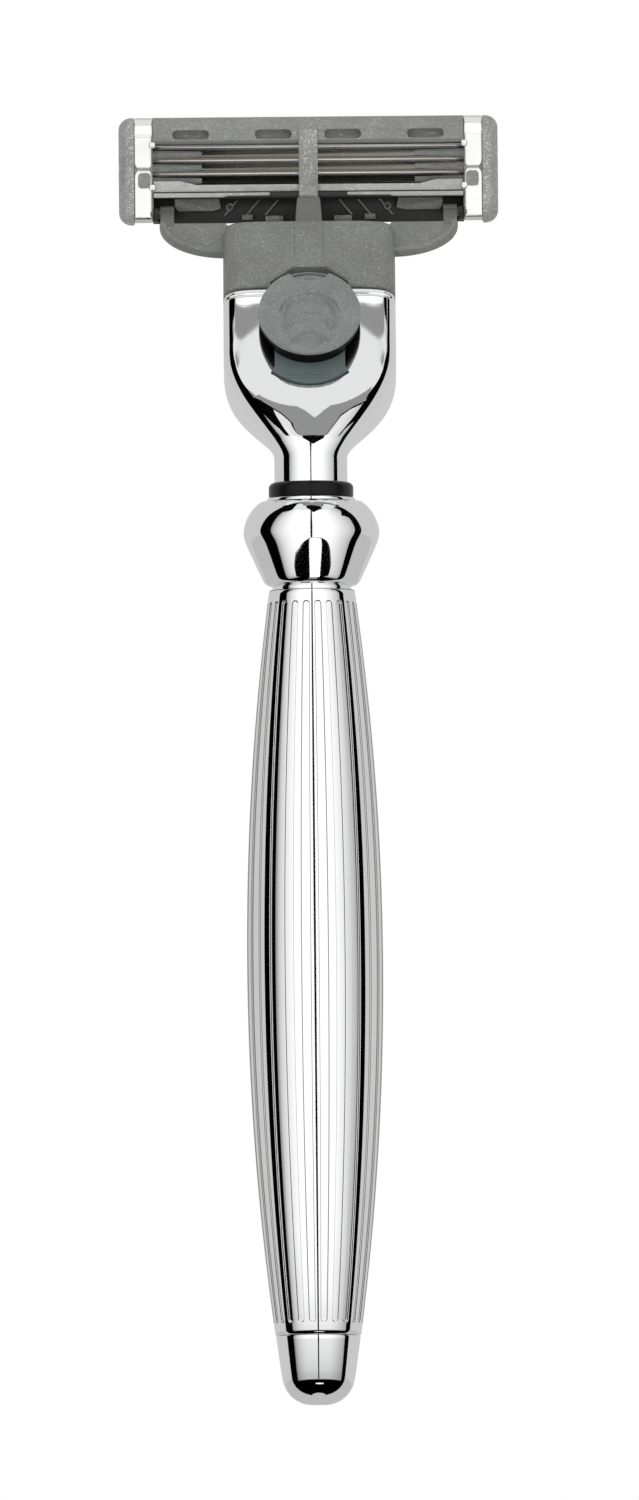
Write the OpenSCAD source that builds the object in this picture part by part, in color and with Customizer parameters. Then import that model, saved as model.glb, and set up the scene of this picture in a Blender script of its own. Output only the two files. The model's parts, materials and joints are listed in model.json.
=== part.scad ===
// Cartridge razor: metal handle with a release button, and a pivoting three-blade cartridge.
// Millimetres. +Z runs up the handle, +Y is the shaving side, the origin is at the neck.

/* [Handle] */
// Length of the handle from the middle of the neck to the tip of the end cap
handle_len = 102.75; // [100:0.25:106]
// Largest diameter of the grip barrel
grip_d = 14.96; // [13.6:0.02:16]
// Diameter of the grip barrel at both of its ends
grip_end_d = 9.4; // [9.2:0.1:10]
// Number of flutes around the grip
flute_count = 24; // [12:1:30]
// Depth of a flute
flute_depth = 0.28; // [0.1:0.02:0.36]
// Diameter of the neck, where a stand's fork holds the razor
neck_d = 8; // [7.6:0.1:8.6]
// Thickness of the seal ring between knop and neck
seal_t = 1.7; // [1.4:0.1:1.8]

/* [Head] */
// Angle by which the head leans towards the shaving side
head_lean = 38; // [37:0.5:39]
// Width of the head at its rim
head_w = 19; // [18.6:0.2:20]
// Thickness of the head at its rim
head_t = 9.4; // [9.2:0.1:10]
// Width of the release button
button_w = 11.3; // [10.7:0.1:11.5]
// Travel of the release button
button_travel = 3; // [2:0.25:3]

/* [Cartridge] */
// Width of the cartridge over its end caps
cartridge_w = 42; // [41.8:0.1:43]
// Height of the blade unit, from guard to cap
unit_h = 11.8; // [11.8:0.1:12.2]
// Depth of the blade unit
unit_d = 4.75; // [4.75:0.05:5]
// Distance between neighbouring blades
blade_pitch = 1.48; // [1.44:0.01:1.5]
// Angle between a blade and the shaving plane
blade_angle = 21.5; // [20:0.5:23]
// Play of each spring-held blade
blade_float = 0.25; // [0.1:0.05:0.25]

/* [Hidden] */
$fn = 48;
eps = 0.01;

chrome = [0.86, 0.87, 0.88];
black_plastic = [0.07, 0.07, 0.08];
satin_grey = [0.5, 0.51, 0.52];
slider_grey = [0.42, 0.45, 0.43];
sparkle_grey = [0.6, 0.61, 0.62];
steel = [0.75, 0.76, 0.77];

// Heights along the handle
tip_z = -handle_len;
cap_h = 7.6;
grip_z0 = tip_z + cap_h;
knop_h = 10.2;
seal_z1 = -1.45;
seal_z0 = seal_z1 - seal_t;
knop_z1 = seal_z0;
knop_z0 = knop_z1 - knop_h;
grip_z1 = knop_z0;
grip_mid = (grip_z0 + grip_z1) / 2;
grip_half = (grip_z1 - grip_z0) / 2;
grip_bulge = (grip_d - grip_end_d) / 2;
grip_arc_r = (grip_half * grip_half + grip_bulge * grip_bulge) / (2 * grip_bulge);
flute_land = 1.5;
flute_share = 0.45;
stud_r = 2.5;
stud_z0 = grip_z1 - 18;
stud_z1 = 3;
hollow_r = 3.2;
hollow_z1 = stud_z0 - 4;

// The head's back rail bends on a short arc, then runs straight to the rim
bend_z = 0.9;
bend_r = 4.5;
back_run = 21.84;
front_run = 9;
flare_len = 14.4;
neck_step = 0.1;
rim_back_y = -neck_d / 2 + bend_r * (1 - cos(head_lean)) + back_run * sin(head_lean);
rim_back_z = bend_z + bend_r * sin(head_lean) + back_run * cos(head_lean);
rim_y = rim_back_y + head_t / 2 * cos(head_lean);
rim_z = rim_back_z - head_t / 2 * sin(head_lean);

// Head mechanism, in the frame of the leaning head: 0 is the rim, +Z leaves the handle
socket_half_w = 7.6;
socket_half_t = 3.3;
well_half_w = 5.2;
well_y0 = -3.1;
well_y1 = 1.4;
well_top = -5;
well_z = -14.6;
nose_half_w = 7;
nose_half_t = 2.9;
nose_h = 8.6;
flange_t = 0.4;
flange_inset = 0.5;
dock_gap = 0.15;
plunger_y = -1.15;
plunger_r = 0.9;
plunger_z0 = -4.5;
plunger_tip_r = 0.7;
plunger_head_z0 = 9.5;
plunger_tip_z = 16.65;
plunger_stroke = 1.82;
slide_y0 = -2.95;
slide_y1 = -2.3;
slide_z0 = -13.4;
slide_z1 = -4;
slide_half_w = 4.6;
prong_w = 1.2;
prong_z1 = 5.5;
tab_half_w = 1.2;
tab_h = 0.8;
window_half_w = 4.3;
window_z0 = -13.96;
window_z1 = -0.8;
stem_half_w = 3.2;
stem_z0 = -10;
button_z = -4.77;
button_len = button_w + 1;
button_y = -4.9;
button_t = 1.3;
spring_r = 0.78;
spring_wire_r = 0.13;
spring_turns = 8;

// Connector, in the same frame; the blade unit turns about the hinge line
hub_t = 9;
hub_z0 = 0.5;
hub_z1 = 10.4;
arm_y0 = -2.5;
arm_y1 = -1.2;
arm_z0 = 7.58;
arm_z1 = 12.1;
arm_reach = 16.5;
arm_end_w = 1.5;
hinge_y = 1;
hinge_z = 16.544;
pin_r = 0.55;
pin_gap = 0.05;
boss_r = 0.85;
stem_half_t = 0.65;
stem_x1 = arm_reach - 0.1;

// Blade unit, measured from the hinge line: +Y is the shaving plane's side
face_y = 2.6;
back_y = face_y - unit_d;
unit_z0 = -1.2;
unit_z1 = unit_z0 + unit_h;
end_w = 1.7;
clip_w = 2.06;
clip_t = 0.25;
half_w = cartridge_w / 2;
clip_x1 = half_w - end_w;
bay_x = clip_x1 - clip_w;
cap_bar_h = 3;
cap_bar_z = unit_z1 - cap_bar_h;
guard_y0 = 0.9;
guard_y1 = 1.8;
guard_z1 = 2.55;
web_y0 = -1.8;
web_y1 = 1;
web_z0 = 1.6;
web_t = 0.6;
bay_y = 1.05;
strip_y = 1.4;
rib_half_w = 1.05;
rib_t = 0.75;
cam_r = 0.6;
cam_gap = 0.025;
cam_dy = plunger_y - hinge_y;
cam_dz = plunger_tip_z + cam_r + cam_gap - hinge_z;
cam_y = cam_dy * cos(head_lean) + cam_dz * sin(head_lean);
cam_z = cam_dz * cos(head_lean) - cam_dy * sin(head_lean);
top_leg_z = cap_bar_z - 0.34;
leg_t = 0.3;
leg_y0 = -1.1;
leg_y1 = 1.6;
platform_len = 1.05;
platform_t = 0.22;
blade_len = 1.4;
blade_t = 0.1;
blade_end_x = bay_x + 1.2;
finger_x = 11.9;

function leg_z(i) = top_leg_z - (3 - i) * blade_pitch;

// ---- helpers ----

module both_sides() {
    children();
    mirror([1, 0, 0]) children();
}

// Extrudes a (Y, Z) outline along X
module along_x(x0, x1) {
    translate([x0, 0, 0])
        rotate([90, 0, 90])
            linear_extrude(x1 - x0) children();
}

// Extrudes an (X, Z) outline along Y
module along_y(y0, y1) {
    translate([0, y1, 0])
        rotate([90, 0, 0])
            linear_extrude(y1 - y0) children();
}

module block(x0, x1, y0, y1, z0, z1) {
    translate([x0, y0, z0]) cube([x1 - x0, y1 - y0, z1 - z0]);
}

// Block centred on X = 0
module mid_block(half_x, y0, y1, z0, z1) {
    block(-half_x, half_x, y0, y1, z0, z1);
}

module round_rect(x0, x1, y0, y1, r) {
    translate([x0 + r, y0]) square([x1 - x0 - 2 * r, y1 - y0]);
    translate([x0, y0 + r]) square([x1 - x0, y1 - y0 - 2 * r]);
    for (x = [x0 + r, x1 - r]) {
        for (y = [y0 + r, y1 - r]) {
            translate([x, y]) circle(r);
        }
    }
}

module head_frame() {
    translate([0, rim_y, rim_z]) rotate([-head_lean, 0, 0]) children();
}

module unit_frame() {
    head_frame() translate([0, hinge_y, hinge_z]) rotate([head_lean, 0, 0]) children();
}

// ---- handle ----

// Half outline of the barrel, offset inwards by inset
module barrel_outline(z0, z1, inset) {
    intersection() {
        translate([grip_d / 2 - grip_arc_r, grip_mid]) circle(grip_arc_r - inset, $fn = 360);
        translate([0, z0]) square([grip_d, z1 - z0]);
    }
}

module flute_cutter() {
    turn = flute_share * 360 / flute_count;
    rotate([0, 0, -90 - turn / 2])
        rotate_extrude(angle = turn)
            difference() {
                barrel_outline(grip_z0 + flute_land, grip_z1 - flute_land, -1);
                barrel_outline(grip_z0, grip_z1, flute_depth);
            }
}

module grip_barrel() {
    color(chrome)
        difference() {
            rotate_extrude($fn = 96) barrel_outline(grip_z0, grip_z1, 0);
            for (i = [0 : flute_count - 1]) {
                rotate([0, 0, i * 360 / flute_count]) flute_cutter();
            }
            translate([0, 0, grip_z0 - 1]) cylinder(r = hollow_r, h = hollow_z1 - grip_z0 + 1);
            translate([0, 0, stud_z0]) cylinder(r = stud_r, h = grip_z1 - stud_z0 + 1);
        }
}

module end_cap() {
    tip_r = 3.3;
    shoulder_r = 4;
    spigot_h = 9;
    color(chrome) {
        rotate_extrude($fn = 96) {
            polygon([
                [0, tip_z], [shoulder_r - tip_r, tip_z], [shoulder_r, tip_z + tip_r],
                [grip_end_d / 2 - 0.05, grip_z0], [0, grip_z0]
            ]);
            intersection() {
                translate([shoulder_r - tip_r, tip_z + tip_r]) circle(tip_r);
                translate([0, tip_z]) square([shoulder_r, 2 * tip_r]);
            }
        }
        translate([0, 0, grip_z0 - eps]) cylinder(r = hollow_r, h = spigot_h);
    }
}

module collar_knop() {
    foot_r = 4.85;
    round_r = 4.4;
    widest_z = knop_z1 - 4;
    cone_z = widest_z - 1.5;
    round_x = grip_d / 2 - round_r;
    color(chrome)
        difference() {
            rotate_extrude($fn = 96) {
                polygon([[0, knop_z0], [foot_r, knop_z0], [grip_d / 2 - 0.48, cone_z], [0, cone_z]]);
                intersection() {
                    translate([round_x, widest_z]) circle(round_r, $fn = 96);
                    translate([0, knop_z0]) square([grip_d, knop_h]);
                }
            }
            translate([0, 0, knop_z0 - 1]) cylinder(r = stud_r + 0.1, h = knop_h + 2);
        }
}

module seal_ring() {
    color(black_plastic)
        rotate_extrude($fn = 96)
            round_rect(stud_r + 0.1, 4.65, seal_z0, seal_z1, 0.5);
}

module head_stud() {
    thread_r = stud_r - 0.3;
    thread_pitch = 1.2;
    color(steel)
        difference() {
            translate([0, 0, stud_z0]) cylinder(r = stud_r, h = stud_z1 - stud_z0);
            for (z = [stud_z0 + 1 : thread_pitch : grip_z1 - 1]) {
                translate([0, 0, z])
                    rotate_extrude()
                        polygon([
                            [thread_r, thread_pitch / 4], [stud_r + 0.1, 0],
                            [stud_r + 0.1, thread_pitch / 2]
                        ]);
            }
        }
}

// Rails of the head at t = 0 to 1 from neck to rim, as (Y, Z): the back is straight, the front swells
function bend_share() = let (arc = bend_r * head_lean * PI / 180) arc / (arc + back_run);
function back_rail(t) = let (
    a = min(1, t / bend_share()) * head_lean,
    run = max(0, t - bend_share()) / (1 - bend_share()) * back_run
) [
    neck_step - neck_d / 2 + bend_r * (1 - cos(a)) + run * sin(head_lean),
    bend_z + bend_r * sin(a) + run * cos(head_lean)
];
function front_rail(t) = let (
    rim = [rim_y + head_t / 2 * cos(head_lean), rim_z - head_t / 2 * sin(head_lean)],
    foot = [neck_d / 2 - neck_step, bend_z],
    u = 1 - t
) u * u * u * foot + 3 * u * u * t * (foot + [0.5, 2.3])
    + 3 * u * t * t * (rim - front_run * [sin(head_lean), cos(head_lean)]) + t * t * t * rim;
function flare(h) = 0.5 - 0.5 * cos(180 * pow(min(1, h / flare_len), 0.77));
function signed_pow(v, p) = sign(v) * pow(abs(v), p);
function oval(half_w, half_t, n, a) = [
    half_w * signed_pow(cos(a), 2 / n), half_t * signed_pow(sin(a), 2 / n)
];
function head_point(t, a) = let (
    b = back_rail(t),
    f = front_rail(t),
    swell = flare(b[1] - bend_z),
    neck_r = neck_d / 2 - neck_step,
    p = oval(neck_r + (head_w / 2 - neck_r) * swell, 0.5, 2 + 5 * swell, a),
    c = (b + f) / 2 + p[1] * (f - b)
) [p[0], c[0], c[1]];

// Closed tube through rings of points, each ring with the same number of points
module skin(rings) {
    n = len(rings[0]);
    m = len(rings);
    points = [for (r = rings) for (p = r) p];
    sides = [
        for (j = [0 : m - 2])
            for (i = [0 : n - 1])
                for (half = [0, 1])
                    let (k = (i + 1) % n, a = j * n, b = (j + 1) * n)
                        half == 0 ? [a + i, b + i, a + k] : [a + k, b + i, b + k]
    ];
    ends = [[for (i = [0 : n - 1]) i], [for (i = [n - 1 : -1 : 0]) (m - 1) * n + i]];
    polyhedron(points, concat(sides, ends), convexity = 6);
}

module head_blank() {
    ring_count = 24;
    ring_points = 48;
    skin([
        for (j = [0 : ring_count])
            [for (i = [0 : ring_points - 1]) head_point(j / ring_count, i * 360 / ring_points)]
    ]);
}

module window_cut() {
    sill_r = 5.5;
    along_y(-head_t, 0)
        intersection() {
            translate([-window_half_w, window_z0 - 1])
                square([2 * window_half_w, window_z1 - window_z0 + 1]);
            union() {
                translate([0, window_z0 + sill_r]) circle(sill_r, $fn = 96);
                translate([-sill_r, window_z0 + sill_r])
                    square([2 * sill_r, window_z1 - window_z0 - sill_r + 1]);
            }
        }
}

module head_shell() {
    color(chrome)
        difference() {
            union() {
                head_blank();
                translate([0, 0, seal_z1]) cylinder(d = neck_d, h = bend_z - seal_z1 + 0.05);
            }
            head_frame() {
                mid_block(socket_half_w, -socket_half_t, socket_half_t, well_top, 1);
                mid_block(well_half_w, well_y0, well_y1, well_z, well_top + eps);
                window_cut();
            }
            translate([0, 0, seal_z1 - 1]) cylinder(r = stud_r, h = stud_z1 - seal_z1 + 1);
        }
}

module boxy_oval(half_w, half_t) {
    points = 72;
    polygon([for (i = [0 : points - 1]) oval(half_w, half_t, 7, i * 360 / points)]);
}

module mechanism_insert() {
    groove_x = slide_half_w - prong_w - 0.1;
    color(black_plastic)
        head_frame()
            difference() {
                union() {
                    mid_block(well_half_w, well_y0, well_y1, well_z, well_top);
                    mid_block(socket_half_w, -socket_half_t, socket_half_t, well_top, flange_t / 2);
                    linear_extrude(flange_t)
                        boxy_oval(head_w / 2 - flange_inset, head_t / 2 - flange_inset);
                    translate([0, 0, -eps])
                        linear_extrude(nose_h + eps)
                            round_rect(-nose_half_w, nose_half_w, -nose_half_t, nose_half_t, 1);
                }
                mid_block(slide_half_w + 0.1, -4, slide_y1 + 0.05, slide_z0 - 0.2, window_z1);
                both_sides()
                    block(groove_x, slide_half_w + 0.1, slide_y0 - 0.1, slide_y1 + 0.05, window_z1 - 1, nose_h + 1);
                mid_block(tab_half_w + 0.15, -4, 0.3, slide_z0 - 0.2, slide_z0 + tab_h + button_travel + 0.3);
                translate([0, plunger_y, slide_z0]) cylinder(r = plunger_r + 0.06, h = nose_h - slide_z0 + 1);
                mid_block(1.75, plunger_y - 1, plunger_y + 1, plunger_head_z0 - plunger_stroke - 0.4, nose_h + 1);
            }
}

module plunger_spring() {
    z0 = slide_z0 + tab_h + spring_wire_r + 0.02;
    z1 = plunger_z0 - spring_wire_r - 0.02;
    steps = 14;
    total = spring_turns * steps;
    rise = (z1 - z0) / total;
    color(steel)
        head_frame()
            translate([0, plunger_y, 0])
                skin([
                    for (j = [0 : total])
                        let (a = j * 360 / steps)
                            [for (i = [0 : 5]) let (
                                b = i * 60,
                                r = spring_r + spring_wire_r * cos(b)
                            ) [r * cos(a), r * sin(a), z0 + j * rise + spring_wire_r * sin(b)]]
                ]);
}

module plunger() {
    base_half_w = 1.6;
    tip_half_w = 1.25;
    head_outline = [
        [-base_half_w, plunger_head_z0], [base_half_w, plunger_head_z0],
        [tip_half_w, plunger_tip_z], [-tip_half_w, plunger_tip_z]
    ];
    color(black_plastic)
        head_frame()
            translate([0, plunger_y, 0]) {
                translate([0, 0, plunger_z0])
                    cylinder(r = plunger_r, h = plunger_head_z0 - plunger_z0 + 0.5);
                intersection() {
                    along_y(-plunger_tip_r, plunger_tip_r) polygon(head_outline);
                    along_x(-base_half_w, base_half_w) {
                        translate([0, plunger_tip_z - plunger_tip_r]) circle(plunger_tip_r);
                        translate([-plunger_tip_r, plunger_head_z0])
                            square([2 * plunger_tip_r, plunger_tip_z - plunger_tip_r - plunger_head_z0]);
                    }
                }
            }
}

// ---- button and ejector ----

module button_outline() {
    longer = (button_len - button_w) / 2;
    for (z = [-longer, longer]) {
        translate([0, z]) circle(d = button_w, $fn = 96);
    }
    square([button_w, 2 * longer], center = true);
}

module release_button() {
    dish_r = 12;
    ridge_r = 3.2;
    color(satin_grey)
        head_frame() {
            difference() {
                translate([0, 0, button_z])
                    along_y(button_y - button_t, button_y) button_outline();
                translate([0, button_y - button_t - dish_r + 0.7, button_z])
                    rotate([0, 90, 0])
                        cylinder(r = dish_r, h = 6.8, center = true, $fn = 96);
            }
            for (rise = [-1, 0, 1]) {
                translate([0, 0, button_z - ridge_r + 0.6 + rise * 2.2])
                    along_y(button_y - button_t + 0.35, button_y - 0.2)
                        intersection() {
                            difference() {
                                circle(ridge_r + 0.3);
                                circle(ridge_r - 0.1);
                            }
                            translate([-3, 1.2]) square([6, 3]);
                        }
            }
            mid_block(stem_half_w, button_y - 0.3, slide_y0, stem_z0, slide_z1);
        }
}

module ejector_slide() {
    color(slider_grey)
        head_frame() {
            mid_block(slide_half_w, slide_y0, slide_y1, slide_z0, slide_z1);
            both_sides()
                block(slide_half_w - prong_w, slide_half_w, slide_y0, slide_y1, slide_z1 - 1, prong_z1);
            mid_block(tab_half_w, slide_y1 - 0.2, 0.1, slide_z0, slide_z0 + tab_h);
        }
}

// ---- cartridge ----

module connector_hub() {
    translate([0, 0, hub_z0]) linear_extrude(hub_z1 - hub_z0) boxy_oval(head_w / 2, hub_t / 2);
}

module arm_outline() {
    x0 = head_w / 2 - 2;
    rise = arm_z1 - arm_z0;
    reach = arm_reach - head_w / 2;
    steps = 18;
    polygon(concat(
        [[x0 + 3, arm_z1], [x0, hub_z1 - 0.4], [x0, arm_z0]],
        [for (i = [0 : steps]) let (a = 90 * i / steps)
            [head_w / 2 + reach * sin(a), arm_z1 - rise * cos(a)]]
    ));
}

// Leaning bar from the end of an arm to its pivot pin
module stem_outline() {
    foot_z = arm_z1 - 0.6;
    dy = hinge_y - (arm_y0 + arm_y1) / 2;
    dz = hinge_z - foot_z;
    side = stem_half_t / norm([dy, dz]) * [dz, -dy];
    axis = [hinge_y, hinge_z];
    polygon([[arm_y0 + 0.05, foot_z], [arm_y1 - 0.05, foot_z], axis + side, axis - side]);
}

// Notch in the back of the hub, over which the top of the button slides
module button_notch() {
    top_half_w = 1.93;
    top_z = 3.27;
    side_z = 1.26;
    depth = 0.9;
    along_y(-hub_t, depth - hub_t / 2)
        polygon([
            [-top_half_w, top_z], [top_half_w, top_z], [window_half_w, side_z],
            [window_half_w, -1], [-window_half_w, -1], [-window_half_w, side_z]
        ]);
}

module connector_yoke() {
    cavity_x = nose_half_w + dock_gap;
    cavity_y = nose_half_t + dock_gap;
    color(satin_grey)
        head_frame()
            difference() {
                union() {
                    connector_hub();
                    both_sides() {
                        along_y(arm_y0, arm_y1) arm_outline();
                        along_x(stem_x1 - arm_end_w, stem_x1) stem_outline();
                        translate([stem_x1 - arm_end_w, hinge_y, hinge_z])
                            rotate([0, 90, 0]) cylinder(r = boss_r, h = arm_end_w);
                        translate([stem_x1 - 0.5, hinge_y, hinge_z])
                            rotate([0, 90, 0]) cylinder(r = pin_r, h = bay_x + 1.7 - stem_x1 + 0.5);
                    }
                }
                translate([0, 0, -1])
                    linear_extrude(nose_h + dock_gap + 1.25)
                        round_rect(-cavity_x, cavity_x, -cavity_y, cavity_y, 1);
                mid_block(1.8, plunger_y - 1, plunger_y + 1, 0, hub_z1 + 1);
                mid_block(6.6, -2.4, 2.4, hub_z1 - 0.6, hub_z1 + 1);
                button_notch();
                both_sides()
                    block(10.9, 14.2, arm_y0 - 1, arm_y0 + 0.3, arm_z0 + 2, arm_z1 + 1);
            }
}

// Outline of the blade unit seen from its end
module unit_outline(inset) {
    round_rect(back_y + inset, face_y - inset, unit_z0 + inset, unit_z1 - inset, 1.6 - inset);
}

module unit_end() {
    intersection() {
        along_x(clip_x1, half_w) unit_outline(0);
        along_y(back_y - 1, face_y + 1) round_rect(0, half_w, unit_z0, unit_z1, 1.4);
    }
    along_x(bay_x, clip_x1 + eps) unit_outline(clip_t);
}

module blade_bay_cut() {
    along_x(0, blade_end_x + 0.1) {
        translate([bay_y, guard_z1 + 0.25]) square([3, cap_bar_z - guard_z1 - 0.3]);
        for (i = [1, 2, 3]) {
            translate([leg_y0 - blade_float - 0.1, leg_z(i) - leg_t / 2 - 0.1])
                square([4, leg_t + 0.2]);
        }
    }
}

module finger(i) {
    root_h = 0.95;
    tip_h = 0.6;
    z = leg_z(i) - blade_pitch / 2;
    along_y(bay_y - 0.6, bay_y - 0.05)
        polygon([
            [bay_x + 0.1, z - root_h / 2], [bay_x + 0.1, z + root_h / 2],
            [finger_x, z + tip_h / 2], [finger_x, z - tip_h / 2]
        ]);
}

module blade_housing() {
    slot_w = 4;
    color(sparkle_grey)
        unit_frame() difference() {
            union() {
                difference() {
                    both_sides() unit_end();
                    both_sides() blade_bay_cut();
                    both_sides()
                        translate([bay_x - 1, 0, 0])
                            rotate([0, 90, 0]) cylinder(r = pin_r + pin_gap, h = 1 + 1.85);
                }
                along_x(-bay_x - eps, bay_x + eps)
                    round_rect(back_y + clip_t, face_y - 0.4, cap_bar_z, unit_z1, 1);
                mid_block(bay_x + eps, guard_y0, guard_y1, unit_z0 + 0.2, guard_z1);
                mid_block(bay_x + eps, web_y0, web_y1, web_z0, web_z0 + web_t);
                mid_block(rib_half_w, back_y, back_y + rib_t, cam_z + 0.8, cap_bar_z + 1.5);
                along_x(-rib_half_w, rib_half_w) {
                    translate([cam_y, cam_z]) circle(cam_r);
                    polygon([
                        [cam_y - cam_r, cam_z], [cam_y + cam_r, cam_z],
                        [cam_y + cam_r, cam_z + 0.8], [back_y, cam_z + 0.85]
                    ]);
                }
                for (i = [1, 2, 3]) {
                    both_sides() finger(i);
                }
            }
            for (x = [-13, -3.85, 3.85, 13]) {
                block(x - slot_w / 2, x + slot_w / 2, back_y - 1, back_y + 2, cap_bar_z + 0.6, cap_bar_z + 1.6);
            }
            mid_block(16.9, strip_y, face_y + 1, cap_bar_z + 0.5, unit_z1 - 0.5);
        }
}

module lubricating_strip() {
    color([0.55, 0.66, 0.62])
        unit_frame() along_x(-16.9, 16.9) {
            translate([strip_y, cap_bar_z + 0.5]) square([0.5, cap_bar_h - 1]);
            round_rect(strip_y, face_y, cap_bar_z + 0.5, unit_z1 - 0.5, 0.4);
        }
}

module guard_fins() {
    fin_t = 0.26;
    fin_pitch = 0.55;
    color(black_plastic)
        unit_frame() {
            mid_block(16.9, guard_y1, guard_y1 + 0.3, unit_z0 + 0.25, guard_z1 - 0.1);
            for (i = [0 : 5]) {
                z = unit_z0 + 0.3 + i * fin_pitch;
                mid_block(16.9 - 0.1 * i, guard_y1 + 0.2, face_y, z, z + fin_t);
            }
        }
}

module clip() {
    color(chrome)
        unit_frame() along_x(bay_x + 0.05, clip_x1 - 0.05)
            difference() {
                unit_outline(0);
                unit_outline(clip_t);
                translate([back_y - 1, unit_z0 - 1]) square([2.7, 2]);
            }
}

module clip_right() {
    clip();
}

module clip_left() {
    mirror([1, 0, 0]) clip();
}

function blade_dir() = [sin(blade_angle), -cos(blade_angle)];
function front_normal() = [cos(blade_angle), sin(blade_angle)];

// Bent support: a leg square to the shaving plane and a platform at the blade angle
module blade_support(i) {
    z = leg_z(i);
    corner = [leg_y1, z + leg_t / 2];
    edge = corner + platform_len * blade_dir();
    under = edge - platform_t * front_normal();
    back = corner - platform_t * front_normal();
    run = (back[1] - (z - leg_t / 2)) / cos(blade_angle);
    color(steel)
        unit_frame() along_x(-blade_end_x, blade_end_x)
            polygon([
                [leg_y0, z - leg_t / 2], [leg_y0, z + leg_t / 2], corner, edge, under,
                back + run * blade_dir()
            ]);
}

module blade(i) {
    heel = [leg_y1, leg_z(i) + leg_t / 2];
    lift = blade_t * front_normal();
    color(steel)
        unit_frame() along_x(-blade_end_x, blade_end_x)
            polygon([
                heel, heel + lift, heel + (blade_len - 0.3) * blade_dir() + lift,
                heel + blade_len * blade_dir() + lift / 2, heel + (blade_len - 0.3) * blade_dir()
            ]);
}

grip_barrel();
end_cap();
collar_knop();
seal_ring();
head_shell();
head_stud();
mechanism_insert();
plunger_spring();
plunger();
release_button();
ejector_slide();
connector_yoke();
blade_housing();
lubricating_strip();
guard_fins();
clip_left();
clip_right();
blade_support(1);  // blade_support_1
blade_support(2);  // blade_support_2
blade_support(3);  // blade_support_3
blade(1);  // blade_1
blade(2);  // blade_2
blade(3);  // blade_3
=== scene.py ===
import bmesh
import bpy
import json
import math
from mathutils import Matrix, Vector


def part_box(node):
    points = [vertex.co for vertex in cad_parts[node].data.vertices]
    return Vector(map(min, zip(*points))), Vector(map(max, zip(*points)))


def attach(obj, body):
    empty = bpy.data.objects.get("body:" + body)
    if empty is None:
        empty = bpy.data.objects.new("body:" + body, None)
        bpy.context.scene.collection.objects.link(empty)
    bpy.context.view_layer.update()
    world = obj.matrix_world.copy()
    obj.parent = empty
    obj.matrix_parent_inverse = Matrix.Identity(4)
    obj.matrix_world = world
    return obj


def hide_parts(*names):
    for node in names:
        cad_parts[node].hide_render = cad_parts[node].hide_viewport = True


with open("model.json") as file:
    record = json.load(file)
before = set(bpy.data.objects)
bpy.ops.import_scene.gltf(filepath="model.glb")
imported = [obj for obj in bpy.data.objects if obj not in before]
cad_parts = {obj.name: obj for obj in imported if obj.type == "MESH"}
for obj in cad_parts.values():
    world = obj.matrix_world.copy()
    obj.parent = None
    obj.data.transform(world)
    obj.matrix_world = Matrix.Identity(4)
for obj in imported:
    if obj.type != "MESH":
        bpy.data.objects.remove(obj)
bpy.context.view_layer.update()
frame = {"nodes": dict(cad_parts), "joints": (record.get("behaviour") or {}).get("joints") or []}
MM = 0.001

# ---------------------------------------------------------------- frame sizes, in mm
joints = {j["name"]: j for j in frame["joints"]}
LEAN = math.atan2(joints["cartridge_release"]["axis"][1], joints["cartridge_release"]["axis"][2])
SL, CL = math.sin(LEAN), math.cos(LEAN)
HINGE = [c / MM for c in joints["cartridge_pivot"]["pos_m"]]


def box(node):
    lo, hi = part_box(node)
    return [c / MM for c in lo], [c / MM for c in hi]


HEAD_LO, HEAD_HI = box("head_shell")
HEAD_T = 9.4
RIM_Y = HEAD_HI[1] - HEAD_T / 2 * CL
RIM_Z = HEAD_HI[2] - HEAD_T / 2 * SL


def world_xyz(x, y, z):
    return Vector((x, y, z)) * MM


def head(x, y, z):
    """Point given in the frame of the leaning head: 0 is the rim, +z leaves the handle."""
    return world_xyz(x, RIM_Y + y * CL + z * SL, RIM_Z - y * SL + z * CL)


def unit(x, y, z):
    """Point given from the line that the blade unit turns about."""
    return world_xyz(x, HINGE[1] + y, HINGE[2] + z)


# ---------------------------------------------------------------- mesh building
class Kit:
    """Gathers closed forms into one mesh."""

    def __init__(self, place):
        self.v, self.f, self.place = [], [], place

    def add(self, pts, faces):
        k = len(self.v)
        self.v += [self.place(*p) for p in pts]
        self.f += [tuple(i + k for i in f) for f in faces]

    def skin(self, rings):
        n, m = len(rings[0]), len(rings)
        faces = [tuple(range(n - 1, -1, -1)), tuple((m - 1) * n + i for i in range(n))]
        for j in range(m - 1):
            for i in range(n):
                k = (i + 1) % n
                faces.append((j * n + i, j * n + k, (j + 1) * n + k, (j + 1) * n + i))
        self.add([p for r in rings for p in r], faces)

    def along_y(self, ring, y0, y1):
        """Ring of (x, z)."""
        self.skin([[(a, y, b) for a, b in ring] for y in (y0, y1)])

    def along_x(self, ring, x0, x1):
        """Ring of (y, z)."""
        self.skin([[(x, a, b) for a, b in ring] for x in (x0, x1)])

    def block(self, x0, x1, y0, y1, z0, z1):
        self.along_x([(y0, z0), (y1, z0), (y1, z1), (y0, z1)], x0, x1)

    def both(self, draw):
        for side in (1, -1):
            keep = self.place
            self.place = lambda x, y, z: keep(x * side, y, z)
            draw()
            self.place = keep

    def mesh(self, name):
        me = bpy.data.meshes.new(name)
        me.from_pydata([tuple(p) for p in self.v], [], self.f)
        bm = bmesh.new()
        bm.from_mesh(me)
        bmesh.ops.recalc_face_normals(bm, faces=bm.faces)
        bm.to_mesh(me)
        bm.free()
        ob = bpy.data.objects.new(name, me)
        bpy.context.scene.collection.objects.link(ob)
        return ob


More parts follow.
